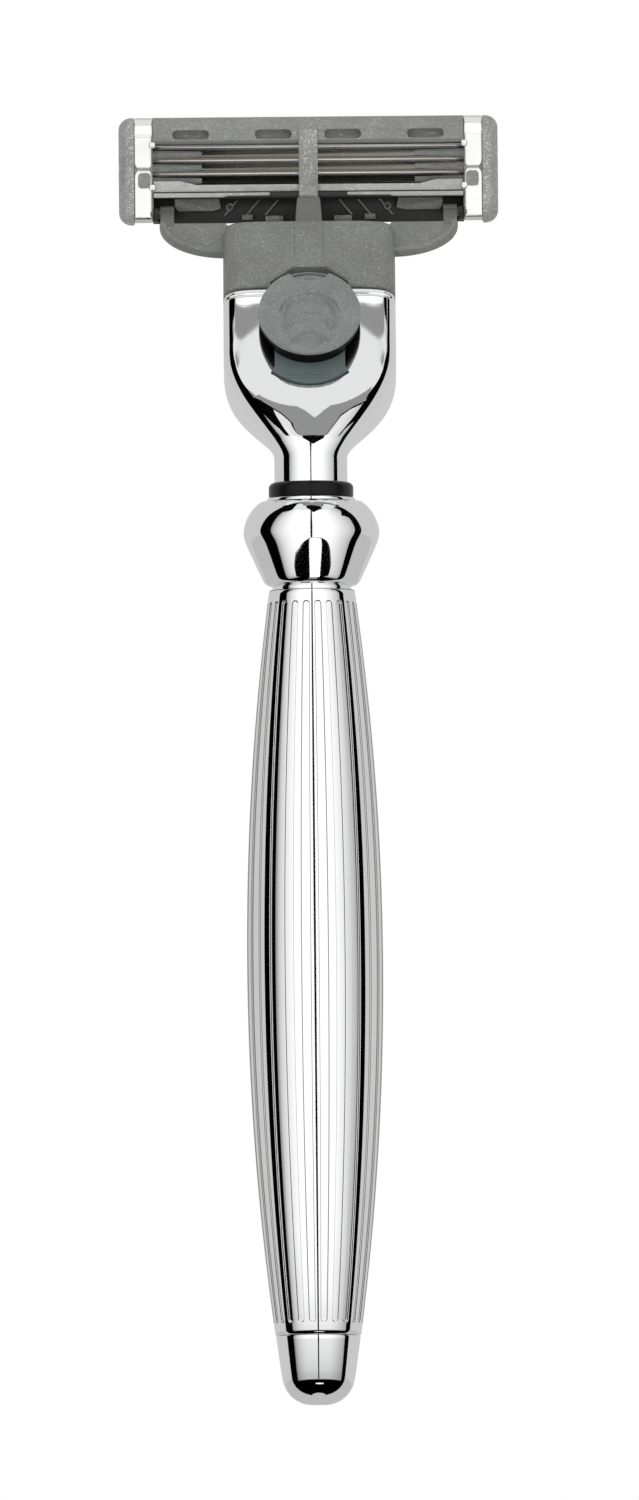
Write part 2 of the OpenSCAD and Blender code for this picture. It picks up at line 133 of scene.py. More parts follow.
def round_rect(a0, a1, b0, b1, r, seg=5):
    pts = []
    corners = ((a1 - r, b1 - r, 0), (a0 + r, b1 - r, 90), (a0 + r, b0 + r, 180), (a1 - r, b0 + r, 270))
    for ca, cb, t0 in corners:
        for i in range(seg + 1):
            t = math.radians(t0 + 90 * i / seg)
            pts.append((ca + r * math.cos(t), cb + r * math.sin(t)))
    return pts


def oval(hw, ht, n, count):
    """Superellipse of exponent n, with half width hw and half height ht."""
    pts = []
    for i in range(count):
        t = 2 * math.pi * (i + 0.5) / count
        c, s = math.cos(t), math.sin(t)
        r = (abs(c) ** n + abs(s) ** n) ** (-1 / n)
        pts.append((hw * r * c, ht * r * s))
    return pts


def freeze(ob):
    """Replaces the mesh by its state after the modifiers."""
    bpy.context.view_layer.update()
    dg = bpy.context.evaluated_depsgraph_get()
    me = bpy.data.meshes.new_from_object(ob.evaluated_get(dg))
    ob.modifiers.clear()
    ob.data = me
    return ob


def carve(ob, *cutters):
    for c in cutters:
        m = ob.modifiers.new("cut", "BOOLEAN")
        m.operation, m.solver, m.object = "DIFFERENCE", "EXACT", c
    freeze(ob)
    for c in cutters:
        bpy.data.objects.remove(c)
    return ob


def soften(ob, width, angle=35, segments=3):
    m = ob.modifiers.new("edge", "BEVEL")
    m.width, m.segments, m.limit_method, m.angle_limit = width * MM, segments, "ANGLE", math.radians(angle)
    m.harden_normals = True
    return freeze(ob)


def shade(ob, angle=35):
    for p in ob.data.polygons:
        p.use_smooth = True
    ob.data.set_sharp_from_angle(angle=math.radians(angle))
    return ob


def dress(ob, body, mat, slot_name, *nodes):
    ob.data.materials.clear()
    ob.data.materials.append(mat)
    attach(ob, body)
    if nodes:
        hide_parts(*nodes)
        for n in nodes:
            frame["nodes"][n].hide_render = True
    return ob


# ---------------------------------------------------------------- finishes
# bump distances, in m
GRAIN, FLAKE_GRAIN, LINE_DEPTH = 2e-5, 1.2e-5, 1.5e-5


def tree(name):
    m = bpy.data.materials.new(name)
    m.use_nodes = True
    return m, m.node_tree, m.node_tree.nodes["Principled BSDF"]


def coords(nt, scale):
    t = nt.nodes.new("ShaderNodeTexCoord")
    mp = nt.nodes.new("ShaderNodeMapping")
    mp.inputs["Scale"].default_value = scale
    nt.links.new(t.outputs["Object"], mp.inputs["Vector"])
    return mp.outputs["Vector"]


def noise(nt, scale, detail=4.0):
    n = nt.nodes.new("ShaderNodeTexNoise")
    nt.links.new(coords(nt, scale), n.inputs["Vector"])
    n.inputs["Scale"].default_value = 1.0
    n.inputs["Detail"].default_value = detail
    return n.outputs["Fac"]


def spread(nt, value, lo, hi, from_lo=0.3, from_hi=0.7):
    r = nt.nodes.new("ShaderNodeMapRange")
    for k, v in (("From Min", from_lo), ("From Max", from_hi), ("To Min", lo), ("To Max", hi)):
        r.inputs[k].default_value = v
    nt.links.new(value, r.inputs["Value"])
    return r.outputs["Result"]


def blend_color(nt, fac, a, b):
    m = nt.nodes.new("ShaderNodeMix")
    m.data_type = "RGBA"
    nt.links.new(fac, m.inputs["Factor"])
    for key, c in (("A", a), ("B", b)):
        sock = [s for s in m.inputs if s.name == key and s.type == "RGBA"][0]
        sock.default_value = (*c, 1)
    return [s for s in m.outputs if s.type == "RGBA"][0]


def bump(nt, height, strength, distance, before=None):
    b = nt.nodes.new("ShaderNodeBump")
    b.inputs["Strength"].default_value = strength
    b.inputs["Distance"].default_value = distance
    nt.links.new(height, b.inputs["Height"])
    if before is not None:
        nt.links.new(before, b.inputs["Normal"])
    return b.outputs["Normal"]


def plated(name, bright=0.93, rough=0.035, haze=0.02, shade_attribute=None):
    """Polished plating: faint polishing lines, and a thin haze that changes the gloss.

    The optional last argument names the point attribute that says where painted shade darkens the plating:
    the dark flute walls stand for the shade inside the deep grooves.
    """
    m, nt, b = tree(name)
    smear = noise(nt, (90, 90, 35), 6)
    hazed = tuple(bright * c for c in (0.965, 0.97, 0.975))
    tone = blend_color(nt, smear, (bright, bright, bright), hazed)
    if shade_attribute:
        # painted shade: where the attribute is high, the plating colour is blended to near black, standing
        # for the shade inside the flute grooves
        at = nt.nodes.new("ShaderNodeAttribute")
        at.attribute_name = shade_attribute
        shaded = nt.nodes.new("ShaderNodeMix")
        shaded.data_type = "RGBA"
        nt.links.new(at.outputs["Fac"], shaded.inputs["Factor"])
        slots = {q.name: q for q in shaded.inputs if q.type == "RGBA"}
        nt.links.new(tone, slots["A"])
        slots["B"].default_value = (0.11, 0.11, 0.1, 1)
        tone = [q for q in shaded.outputs if q.type == "RGBA"][0]
    nt.links.new(tone, b.inputs["Base Color"])
    b.inputs["Metallic"].default_value = 1.0
    nt.links.new(spread(nt, smear, rough, rough + haze), b.inputs["Roughness"])
    lines = noise(nt, (900, 900, 14000), 2)
    nt.links.new(bump(nt, lines, 0.02, GRAIN), b.inputs["Normal"])
    return m


def flaked(name, base, flake, share, cell, rough=0.4, grain=0.25):
    """Moulded plastic with metal flakes: each cell may be a bright flake that tilts its own way.

    share is the part of the cells that are flakes, and cell is their size in mm.
    """
    m, nt, b = tree(name)
    v = nt.nodes.new("ShaderNodeTexVoronoi")
    nt.links.new(coords(nt, (1, 1, 1)), v.inputs["Vector"])
    v.inputs["Scale"].default_value = 1 / (cell * MM)
    pick = nt.nodes.new("ShaderNodeSeparateColor")
    nt.links.new(v.outputs["Color"], pick.inputs["Color"])
    lit = spread(nt, pick.outputs["Red"], 0.0, 1.0, 1 - share, 1 - share * 0.3)
    cloud = noise(nt, (260, 260, 260), 4)
    tone = spread(nt, cloud, 0.9, 1.1)
    mixed = blend_color(nt, lit, base, flake)
    sc = nt.nodes.new("ShaderNodeVectorMath")
    sc.operation = "SCALE"
    nt.links.new(mixed, sc.inputs[0])
    nt.links.new(tone, sc.inputs["Scale"])
    nt.links.new(sc.outputs[0], b.inputs["Base Color"])
    nt.links.new(spread(nt, lit, 0.0, 0.4, 0, 1), b.inputs["Metallic"])
    nt.links.new(spread(nt, lit, rough, rough * 0.6, 0, 1), b.inputs["Roughness"])
    fine = noise(nt, (9000, 9000, 9000), 3)
    n1 = bump(nt, pick.outputs["Green"], grain, GRAIN)
    nt.links.new(bump(nt, fine, 0.12, FLAKE_GRAIN, n1), b.inputs["Normal"])
    b.inputs["Specular IOR Level"].default_value = 0.45
    return m


def plain(name, base, rough, bumpy=0.15, scale=5000, coat=0.0, spec=0.5):
    """Plastic or rubber with a fine eroded grain."""
    m, nt, b = tree(name)
    cloud = noise(nt, (300, 300, 300), 5)
    dark = tuple(c * 0.8 for c in base)
    light = tuple(min(1, c * 1.15) for c in base)
    nt.links.new(blend_color(nt, cloud, dark, light), b.inputs["Base Color"])
    nt.links.new(spread(nt, cloud, rough - 0.05, rough + 0.06), b.inputs["Roughness"])
    nt.links.new(bump(nt, noise(nt, (scale, scale, scale), 3), bumpy, GRAIN), b.inputs["Normal"])
    b.inputs["Coat Weight"].default_value = coat
    b.inputs["Specular IOR Level"].default_value = spec
    return m


def ground(name, base, rough, along=(60, 5000, 5000), depth=0.12):
    """Ground or rolled metal with lines in one direction."""
    m, nt, b = tree(name)
    lines = noise(nt, along, 4)
    stain = noise(nt, (200, 400, 400), 3)
    nt.links.new(blend_color(nt, stain, base, tuple(c * 0.86 for c in base)), b.inputs["Base Color"])
    b.inputs["Metallic"].default_value = 1.0
    nt.links.new(spread(nt, lines, rough * 0.75, rough * 1.3), b.inputs["Roughness"])
    nt.links.new(bump(nt, lines, depth, LINE_DEPTH), b.inputs["Normal"])
    return m


CHROME = plated("chrome_plate")
# grip plating, with painted shade on its flute walls
CHROME_GRIP = plated("chrome_grip", 0.93, 0.03, 0.015, "flute_shade")
CHROME_HEAD = plated("chrome_head", 0.93, 0.03, 0.02)
RUBBER = plain("seal_rubber", (0.004, 0.004, 0.004), 0.3, 0.2, 3500, 0.0, 0.2)
BLACK = plain("black_plastic", (0.012, 0.012, 0.013), 0.45, 0.15, 6000)
PLUNGER = plain("plunger_plastic", (0.17, 0.172, 0.163), 0.42, 0.15, 6000)
SATIN = flaked("satin_grey", (0.185, 0.19, 0.18), (0.4, 0.41, 0.4), 0.14, 0.085, 0.42, 0.1)
BUTTON = flaked("button_grey", (0.2, 0.205, 0.203), (0.42, 0.43, 0.43), 0.16, 0.085, 0.4, 0.1)
SPARKLE = flaked("sparkle_grey", (0.3, 0.305, 0.29), (0.62, 0.63, 0.6), 0.24, 0.11, 0.38, 0.16)
BAR = flaked("bar_grey", (0.24, 0.245, 0.235), (0.46, 0.47, 0.45), 0.14, 0.095, 0.42, 0.12)
PALE = flaked("pale_grey", (0.42, 0.425, 0.405), (0.7, 0.7, 0.68), 0.2, 0.1, 0.36, 0.12)
# painted shade: near-black finish for the button's skirt, standing for the deep shadow along the button's
# side and underside
BUTTON_SHADE = plain("button_side_shade", (0.004, 0.004, 0.004), 0.5, 0.12, 6000, 0.0, 0.12)
DARK = plain("dark_grey", (0.035, 0.035, 0.034), 0.5, 0.15, 6000, 0.0, 0.3)
SLIDER = plain("slider_grey", (0.115, 0.15, 0.148), 0.42, 0.12, 4000)
STEEL = ground("ground_steel", (0.62, 0.61, 0.58), 0.24)
SPRING = ground("spring_wire", (0.5, 0.5, 0.5), 0.2, (3000, 3000, 3000), 0.05)
EDGE = ground("blade_steel", (0.56, 0.53, 0.47), 0.2)
CLIP = ground("rolled_aluminium", (0.92, 0.92, 0.9), 0.16, (900, 60, 60), 0.06)
STRIP = plain("strip_polymer", (0.3, 0.47, 0.4), 0.35, 0.3, 2500, 0.3)
FINS = plain("fin_elastomer", (0.02, 0.024, 0.028), 0.5, 0.2, 3500)


# ---------------------------------------------------------------- handle
def lathe(name, profile, seg=160):
    """Profile of (radius, z) from the bottom to the top, closed on the axis."""
    kit = Kit(world_xyz)
    turns = [2 * math.pi * i / seg for i in range(seg)]
    kit.skin([[(r * math.cos(a), r * math.sin(a), z) for a in turns] for r, z in profile])
    return kit.mesh(name)


def arc(cx, cz, r, a0, a1, n):
    """Points (x, z) on an arc from a0 to a1 degrees."""
    return [(cx + r * math.cos(math.radians(a0 + (a1 - a0) * i / n)),
             cz + r * math.sin(math.radians(a0 + (a1 - a0) * i / n))) for i in range(n + 1)]


def circle(cx, cz, r, count):
    """Points (x, z) round a circle."""
    turns = [2 * math.pi * i / count for i in range(count)]
    return [(cx + r * math.cos(a), cz + r * math.sin(a)) for a in turns]


GRIP_LO, GRIP_HI = box("grip_barrel")
TIP_Z = box("end_cap")[0][2]
KNOP_LO, KNOP_HI = box("collar_knop")
SEAL_LO, SEAL_HI = box("seal_ring")
FLUTES = 24
GRIP_R = min(KNOP_HI[0], GRIP_HI[0])
END_R = 4.7


def grip_radius(z):
    """Radius of the barrel, whose side is one long arc."""
    mid, half = (GRIP_LO[2] + GRIP_HI[2]) / 2, (GRIP_HI[2] - GRIP_LO[2]) / 2
    bulge = GRIP_R - END_R
    big = (half * half + bulge * bulge) / (2 * bulge)
    return GRIP_R - big + math.sqrt(big * big - (z - mid) ** 2)


def make_grip():
    z0, z1 = GRIP_LO[2], GRIP_HI[2]
    land, depth, half_turn, wall, chamfer = 1.35, 0.2, 4.0, 0.09, 0.1
    near = [0, 0.04, 0.1, 0.5, 1.0] + [1.2 + 0.06 * i for i in range(14)] + [2.4, 3.2]
    middle = [z0 + 4 + (z1 - z0 - 8) * i / 56 for i in range(57)]
    rows = [z0 + d for d in near] + middle + [z1 - d for d in reversed(near)]
    steps = [-7.5, -6.4, -5.3] + [-4.8 + 0.16 * i for i in range(11)] + [-2.7, -1.4, 0]
    steps += [-s for s in reversed(steps[1:-1])]
    rings, flute_shade = [], []
    for z in rows:
        base = grip_radius(z)
        inset = max(0, chamfer - min(z - z0, z1 - z))
        ring = []
        for f in range(FLUTES):
            for s in steps:
                across = base * math.radians(s)
                hw = base * math.radians(half_turn)
                over = max(0, (z0 + land + hw) - z, z - (z1 - land - hw))
                edge = hw - math.hypot(across, over)
                cut = min(1, max(0, 0.5 + edge / wall))
                cut = cut * cut * (3 - 2 * cut)
                # painted shade: weight that peaks on the flute walls, where the grooves fall in shade
                flute_shade.append(4 * cut * (1 - cut))
                r = base - inset - depth * cut
                t = math.radians(f * 360 / FLUTES + s - 90 + 7.5)
                ring.append((r * math.cos(t), r * math.sin(t), z))
        rings.append(ring)
    kit = Kit(world_xyz)
    kit.skin(rings)
    ob = shade(kit.mesh("grip_barrel_skin"), 60)
    ob.data.attributes.new("flute_shade", "FLOAT", "POINT").data.foreach_set("value", flute_shade)
    return dress(ob, "handle", CHROME_GRIP, "chrome", "grip_barrel")


def make_end_cap():
    top = GRIP_LO[2]
    foot, corner, lip = 4.0, 3.29, 4.63
    prof = [(0.001, TIP_Z), (0.6, TIP_Z)] + arc(foot - corner, TIP_Z + corner, corner, -90, -8, 30)
    low, high = prof[-1], (lip, top - 0.12)
    for i in range(1, 13):
        prof.append((low[0] + (high[0] - low[0]) * (i / 12) ** 0.9, low[1] + (high[1] - low[1]) * i / 12))
    prof += [(4.6, top - 0.06), (4.5, top - 0.03), (3, top - 0.02)]
    ob = shade(lathe("end_cap_skin", prof), 40)
    return dress(ob, "handle", CHROME, "chrome", "end_cap")


def make_knop():
    z0, z1 = KNOP_LO[2], KNOP_HI[2]
    wide = KNOP_HI[0]
    foot_z, mid_z, soft = z0 + 0.12, z1 - 4.1, 0.14
    foot_r, slope, bow = 4.85, 0.485, 0.0042
    top_r, rise, drop, power = 4.3, 4.05, 5.6, 1.87
    prof = [(2.8, z0), (4.75, z0 + 0.01)]
    for i in range(71):
        z = foot_z + (z1 - 0.42 - foot_z) * i / 70
        d = z - foot_z
        cone = foot_r + slope * d - bow * d * d
        lift = min(1, abs(z - mid_z) / (rise if z > mid_z else drop))
        dome = top_r + (wide - top_r) * (1 - lift ** power) ** (1 / power)
        prof.append((-soft * math.log(math.exp(-cone / soft) + math.exp(-dome / soft)), z))
    prof += [(4.93, z1 - 0.4), (4.86, z1 - 0.36), (4.84, z1 - 0.1), (4.76, z1 - 0.02), (top_r, z1)]
    ob = shade(lathe("knop_skin", prof, 192), 50)
    return dress(ob, "handle", CHROME, "chrome", "collar_knop")


def make_seal():
    z0, z1, r = SEAL_LO[2], SEAL_HI[2], SEAL_HI[0]
    bore, foot, shoulder = 2.7, 0.3, 0.62
    prof = [(bore, z0)] + arc(r - foot, z0 + foot, foot, -90, 0, 6)
    prof += arc(r - shoulder, z1 - shoulder, shoulder, 0, 90, 10) + [(bore, z1)]
    ob = shade(lathe("seal_skin", prof), 50)
    return dress(ob, "handle", RUBBER, "black_rubber", "seal_ring")


# ---------------------------------------------------------------- head
NECK_R, BEND_Z, BEND_R, FRONT_RUN, FLARE = 4.0, 0.9, 4.5, 9.0, 14.0
BACK_RUN = (HEAD_HI[2] - BEND_Z - BEND_R * SL) / CL
HEAD_HW = HEAD_HI[0]
HEAD_COUNT = 168


def rails(t):
    """Back and front edge (y, z) of the head at a share t of its length."""
    arc_len = BEND_R * LEAN
    s = t * (arc_len + BACK_RUN)
    a = min(LEAN, s / BEND_R)
    run = max(0, s - arc_len)
    b = Vector((-NECK_R + BEND_R * (1 - math.cos(a)) + run * SL, BEND_Z + BEND_R * math.sin(a) + run * CL))
    rim = Vector((RIM_Y + HEAD_T / 2 * CL, RIM_Z - HEAD_T / 2 * SL))
    foot, u = Vector((NECK_R, BEND_Z)), 1 - t
    pull_foot, pull_rim = foot + Vector((0.5, 2.3)), rim - FRONT_RUN * Vector((SL, CL))
    f = u ** 3 * foot + 3 * u * u * t * pull_foot + 3 * u * t * t * pull_rim + t ** 3 * rim
    return b, f


def hollow(below):
    """How far the head's back face is dished, at a distance below the rim."""
    steep, bend, flat, faded = math.radians(14), 3.1, 9.0, 20.0
    curl, ease = 0.0158, 0.0124
    if below < bend:
        return steep * below - curl * below * below
    if below < flat:
        rest = flat - below
        return hollow(bend - 1e-6) + ease * ((flat - bend) ** 2 - rest * rest)
    if below < faded:
        return hollow(flat - 1e-6) * (0.5 + 0.5 * math.cos(math.pi * (below - flat) / (faded - flat)))
    return 0.0


def head_ring(t, inset=0, lift=0, dish=0.0):
    """Section of the head: inset pulls it in, lift moves it up the lean, dish hollows its back."""
    b, f = rails(t)
    swell = 0.5 - 0.5 * math.cos(math.pi * min(1, max(0, b[1] - BEND_Z - 0.5) / FLARE) ** 0.8)
    hw = NECK_R + (HEAD_HW - NECK_R) * swell - inset
    ht = (f - b).length / 2 - inset
    d, c = (f - b).normalized(), (b + f) / 2
    pts = [(x, p * (1 - dish / ht) if p < 0 else p) for x, p in oval(hw, ht, 2 + 5 * swell, HEAD_COUNT)]
    return [(x, c[0] + d[0] * p + lift * SL, c[1] + d[1] * p + lift * CL) for x, p in pts]


def window_ring(grow):
    """Outline (x, z) of the window in the head's back face, wider by grow."""
    w, low, corner, top = 4.3 + grow, -13.96 - grow, -11.9 - grow, -0.8
    neck = 3.98 + grow
    shares = [2 * i / 14 - 1 for i in range(15)]
    sill = [(w * s, corner + (low - corner) * (1 - s ** 2)) for s in shares]
    step, jamb = corner + 0.25 + grow, corner + 0.75 + grow
    return sill + [(w, step), (neck, jamb), (neck, -6), (neck, top),
                   (-neck, top), (-neck, -6), (-neck, jamb), (-w, step)]


def make_head():
    r = 0.35
    full = BACK_RUN + BEND_R * LEAN
    t1 = 1 - r / full
    rings = []
    # plain neck
    for rise in (0, 0.6, 1.2, 1.8):
        rings.append([(x, y, HEAD_LO[2] + rise) for x, y in oval(NECK_R, NECK_R, 2, HEAD_COUNT)])
    # flare and leaning head, with a fine groove under the rim
    stops = [j / 76 * 0.93 for j in range(77)] + [0.93 + 0.07 * j / 30 for j in range(1, 31)]
    for t in stops:
        below = (1 - t1 * t) * full
        groove = 0.12 * math.exp(-((below - 0.85) / 0.13) ** 2)
        rings.append(head_ring(t1 * t, groove, dish=hollow(max(0, below - 0.9))))
    # rounded rim
    for k in range(1, 7):
        a = math.radians(15 * k)
        rings.append(head_ring(t1, r * (1 - math.cos(a)), r * math.sin(a)))
    kit = Kit(world_xyz)
    kit.skin(rings)
    ob = kit.mesh("head_skin")
    # socket for the insert, well under the button, window with its sloped edge
    cut1, cut2, cut3 = Kit(head), Kit(head), Kit(head)
    cut1.skin([[(x, y, z) for x, y in round_rect(-7.6, 7.6, -3.3, 3.3, 0.4)] for z in (-5, 1.5)])
    cut2.block(-5.2, 5.2, -3.1, 1.4, -14.6, -4.9)
    rows = [(-3.0, 0), (-4.5, 0), (-4.7, 0.2), (-5.2, 0.7)]
    cut3.skin([[(x, y, z) for x, z in window_ring(g)] for y, g in rows])
    carve(ob, cut1.mesh("cut_socket"), cut2.mesh("cut_well"), cut3.mesh("cut_window"))
    shade(ob, 32)
    return dress(ob, "handle", CHROME_HEAD, "chrome", "head_shell")


# ---------------------------------------------------------------- button
BUTTON_MID, BUTTON_TOP, BUTTON_FOOT = -4.77, -6.2, -4.9


def button_dip(x, z):
    """How far the button's face lies under its rim plane."""
    h = 0.012 * x * x + 0.02
    # oval thumb dish with three raised arcs
    ex, ez = x / 3.5, (z + 6.1) / 4.75
    q = 1 - ex * ex - ez * ez
    if q > 0:
        h += 0.5 * min(1, q * 2.2) ** 1.3 * (0.75 + 0.25 * q)
        for top, r, tall in ((-2.35, 2.9, 0.24), (-5.2, 2.35, 0.26), (-8.1, 1.6, 0.24)):
            d = math.hypot(x, z - (top - r)) - r
            up = (z - (top - r)) / r
            ends = min(1, max(0, (up + 0.05) / 0.3))
            h -= ends * tall * (math.exp(-(d / 0.17) ** 2) - 0.6 * math.exp(-((d - 0.42) / 0.2) ** 2))
    # scoop at the upper edge
    s = (x / 2.15) ** 2 + ((z - 1.15) / 1.35) ** 2
    if s < 1:
        h += 1.0 * min(1, (1 - s) * 3)
    return max(0.0, h)


def make_button():
    count, rows, edge = 220, 96, 0.2
    rx, rz, side, back = 5.65, 6.15, 0.55, 0.62

    def ring(kx, kz, drop):
        out = []
        for i in range(count):
            t = 2 * math.pi * i / count
            x, z = kx * math.cos(t), BUTTON_MID + kz * math.sin(t)
            out.append((x, BUTTON_TOP + drop(x, z), z))
        return out

    kit = Kit(head)
    shares = [(j / rows) ** 0.9 for j in range(1, rows + 1)]
    rings = [ring((rx - edge) * q, (rz - edge) * q, button_dip) for q in shares]
    for k in range(1, 6):
        a = math.radians(18 * k)
        grow = edge * math.sin(a)
        fall = edge * (1 - math.cos(a))
        rings.append(ring(rx - edge + grow, rz - edge + grow,
                          lambda x, z: max(fall, min(0.5, button_dip(x * 0.97, z)))))
    rings.append(ring(rx, rz, lambda x, z: side))
    rings.append(ring(rx - 0.12, rz - 0.12, lambda x, z: back))
    kit.skin(rings)
    ob = shade(kit.mesh("button_cap"), 50)
    dress(ob, "button", BUTTON, "satin_grey", "release_button")
    # the near-black skirt under the cap is painted shade: a dark sheet where the button's side wall and
    # underside fall in shadow
    shade_skirt = Kit(head)
    wall = [(3.0, 1.12), (0.45, 1.12), (0.3, 0.6), (0.12, 0.64), (0.08, 0.8), (0.08, 1.15), (0.2, 1.28)]
    shade_skirt.skin([ring(rx - k, rz - k, lambda x, z: d) for k, d in wall])
    lower = ring(rx - 0.35, rz - 0.35, lambda x, z: 0)[count // 2:]
    stem = [(max(-3.9, min(3.9, x)), min(-4.2, z)) for x, y, z in lower]
    shade_skirt.skin([[(x, y, z) for x, z in stem] for y in (BUTTON_FOOT - 0.2, -4.0, -2.95)])
    ob = shade(shade_skirt.mesh("button_shade_skirt"), 45)
    return dress(ob, "button", BUTTON_SHADE, "satin_grey")


def make_slide():
    """Plate with two side arms, an inner tab, and the raised pad that shows in the window."""
    kit = Kit(head)
    kit.along_y(round_rect(-4.6, 4.6, -13.4, -4, 0.3), -2.95, -2.3)
    kit.both(lambda: kit.along_y(round_rect(3.4, 4.6, -5, 5.5, 0.2), -2.95, -2.3))
    kit.along_y(round_rect(-1.2, 1.2, -13.4, -12.6, 0.15), -2.5, 0.1)
    pad = [(x, min(z + 0.22, -4.05)) for x, z in window_ring(-0.12)]
    kit.skin([[(x * k, y, z) for x, z in pad] for y, k in ((-2.5, 1), (-3.9, 1), (-4.0, 0.985))])
    for z in (-12.75, -12.3):
        line = [(x, z - 0.02 * x * x) for x in (-2.4, -1.6, -0.8, 0, 0.8, 1.6, 2.4)]
        kit.along_y(line + [(x, zz + 0.16) for x, zz in reversed(line)], -4.07, -3.9)
    ob = shade(kit.mesh("slide_plate"), 35)
    return dress(ob, "button", SLIDER, "slider_grey", "ejector_slide")


# ---------------------------------------------------------------- connector
def make_hub():
    z0, z1, hw, ht = 0.5, 10.4, HEAD_HW, 4.5
    rings = []
    rows = [(z0, 0.45), (z0 + 0.06, 0.25), (z0 + 0.18, 0.1), (z0 + 0.42, 0.0), (3, 0), (6, 0), (9, 0),
            (z1 - 0.4, 0.0), (z1 - 0.15, 0.08), (z1 - 0.04, 0.2), (z1, 0.4)]
    for z, inset in rows:
        rings.append([(x, y, z) for x, y in oval(hw - inset, ht - inset, 7, HEAD_COUNT)])
    kit = Kit(head)
    kit.skin(rings)
    ob = kit.mesh("hub_skin")
    # notch round the button, cavity for the nose, way for the plunger, recess in the end face
    notch, cavity, well, panel = Kit(head), Kit(head), Kit(head), Kit(head)
    side = 1.26
    ring = [(-4.3, -1), (4.3, -1), (4.3, side), (1.93, 3.27), (-1.93, 3.27), (-4.3, side)]
    notch.skin([[(x * (1 + g), y, z + (0 if z < 0 else g)) for x, z in ring]
                for y, g in ((-3.6, 0), (-4.35, 0), (-4.6, 0.12))])
    cavity.skin([[(x, y, z) for x, y in round_rect(-7.15, 7.15, -3.05, 3.05, 1)] for z in (-0.5, 9.0)])
    well.block(-1.8, 1.8, -2.15, -0.15, 0, 11)
    panel.block(-6.6, 6.6, -2.4, 2.4, 9.8, 11)
    groove = Kit(head)
    groove.both(lambda: groove.along_y([(1.55, 4.6), (1.64, 4.6), (1.64, 11), (1.55, 11)], -4.6, -4.45))
    carve(ob, notch.mesh("cut_notch"), cavity.mesh("cut_cavity"), well.mesh("cut_well2"),
          panel.mesh("cut_panel"), groove.mesh("cut_groove"))
    shade(ob, 32)
    return dress(ob, "connector", SATIN, "satin_grey", "connector_yoke")


WING_Y0, WING_Y1, WING_Z0, WING_Z1 = -2.5, -1.2, 7.58, 12.1


def wing_curve(inset):
    """Quarter oval (x, z) from the hub's side out to the upright arm."""
    hw, steps = HEAD_HW - 0.3, 30
    reach, rise = 16.5 - hw - inset, WING_Z1 - WING_Z0 - inset
    turns = [math.radians(90 * i / steps) for i in range(steps + 1)]
    return [(hw + reach * math.sin(a), WING_Z1 - rise * math.cos(a)) for a in turns]


def make_wings():
    kit = Kit(head)

    def one():
        outer, inner = wing_curve(0), wing_curve(0.8)
        plate = wing_curve(0.3)
        # flat web
        face = [(7.6, plate[0][1])] + plate + [(10.6, WING_Z1), (9.2, WING_Z1), (7.6, 10.0)]
        kit.along_y(face, WING_Y0 + 0.32, WING_Y1 - 0.02)
        # raised bead along its edge
        bead = ((1, WING_Y1 - 0.3), (1, WING_Y0 + 0.4), (0.8, WING_Y0 + 0.14), (0.4, WING_Y0 + 0.02),
                (-0.3, WING_Y0), (-0.8, WING_Y0 + 0.1), (-1, WING_Y0 + 0.34), (-1, WING_Y1 - 0.1),
                (-0.6, WING_Y1), (0.6, WING_Y1), (0.9, WING_Y1 - 0.1))
        rim = []
        for o, q in zip(outer, inner):
            mid = (Vector(o) + Vector(q)) / 2
            d = (Vector(o) - Vector(q)) / 2
            rim.append([(mid[0] + d[0] * a, y, mid[1] + d[1] * a) for a, y in bead])
        kit.skin(rim)
        # upright arm, with the boss and the pivot pin at its end
        x1, dy, dz = 16.4, 1.0, 16.544
        foot = Vector(((WING_Y0 + WING_Y1) / 2, WING_Z1 - 0.6))
        run = Vector((dy, dz)) - foot
        side = Vector((run[1], -run[0])).normalized() * 0.63
        section = round_rect(x1 - 1.5, x1, -0.95, 0.95, 0.22)
        rows = []
        for k in range(9):
            c = foot + run * (k / 8)
            rows.append([(x, c[0] + side[0] * v, c[1] + side[1] * v) for x, v in section])
        kit.skin(rows)
        for r, a, b in ((0.84, x1 - 1.5, x1), (0.54, x1 - 0.5, 18.9)):
            kit.along_x(circle(dy, dz, r, 40), a, b)

    kit.both(one)
    ob = shade(kit.mesh("wings"), 40)
    return dress(ob, "connector", SATIN, "satin_grey")


def make_plunger():
    kit = Kit(head)
    y, stem, tip_z, tip_r = -1.15, 0.9, 15.95, 0.7
    rod = round_rect(-stem, stem, -stem, stem, 0.85, 8)
    kit.skin([[(x, y + yy, z) for x, yy in rod] for z in (-4.5, 10)])
    # flat blade with a round tip: (z, half width, half thickness)
    rows = [(9.5, 1.55, 0.62), (9.6, 1.6, tip_r), (14, 1.43, tip_r), (15.9, 1.29, tip_r)]
    for a in (20, 40, 60, 75, 88):
        t = math.radians(a)
        rows.append((tip_z + tip_r * math.sin(t), 1.28 - 0.03 * a / 90, max(0.05, tip_r * math.cos(t))))
    kit.skin([[(x, y + yy, z) for x, yy in round_rect(-w, w, -t, t, min(0.12, t * 0.9), 3)]
              for z, w, t in rows])
    ob = shade(kit.mesh("plunger_skin"), 40)
    return dress(ob, "plunger", PLUNGER, "black_plastic", "plunger")


# ---------------------------------------------------------------- blade unit
UNIT_LO, UNIT_HI = [[c - h for c, h in zip(p, HINGE)] for p in box("blade_housing")]
UZ0, UZ1, UYB, UYF, UX = UNIT_LO[2], UNIT_HI[2], UNIT_LO[1], UNIT_HI[1], UNIT_HI[0]
CLIP_X0, CLIP_X1 = 17.24, UX - 1.7
BAR_Z = UZ1 - 3.0


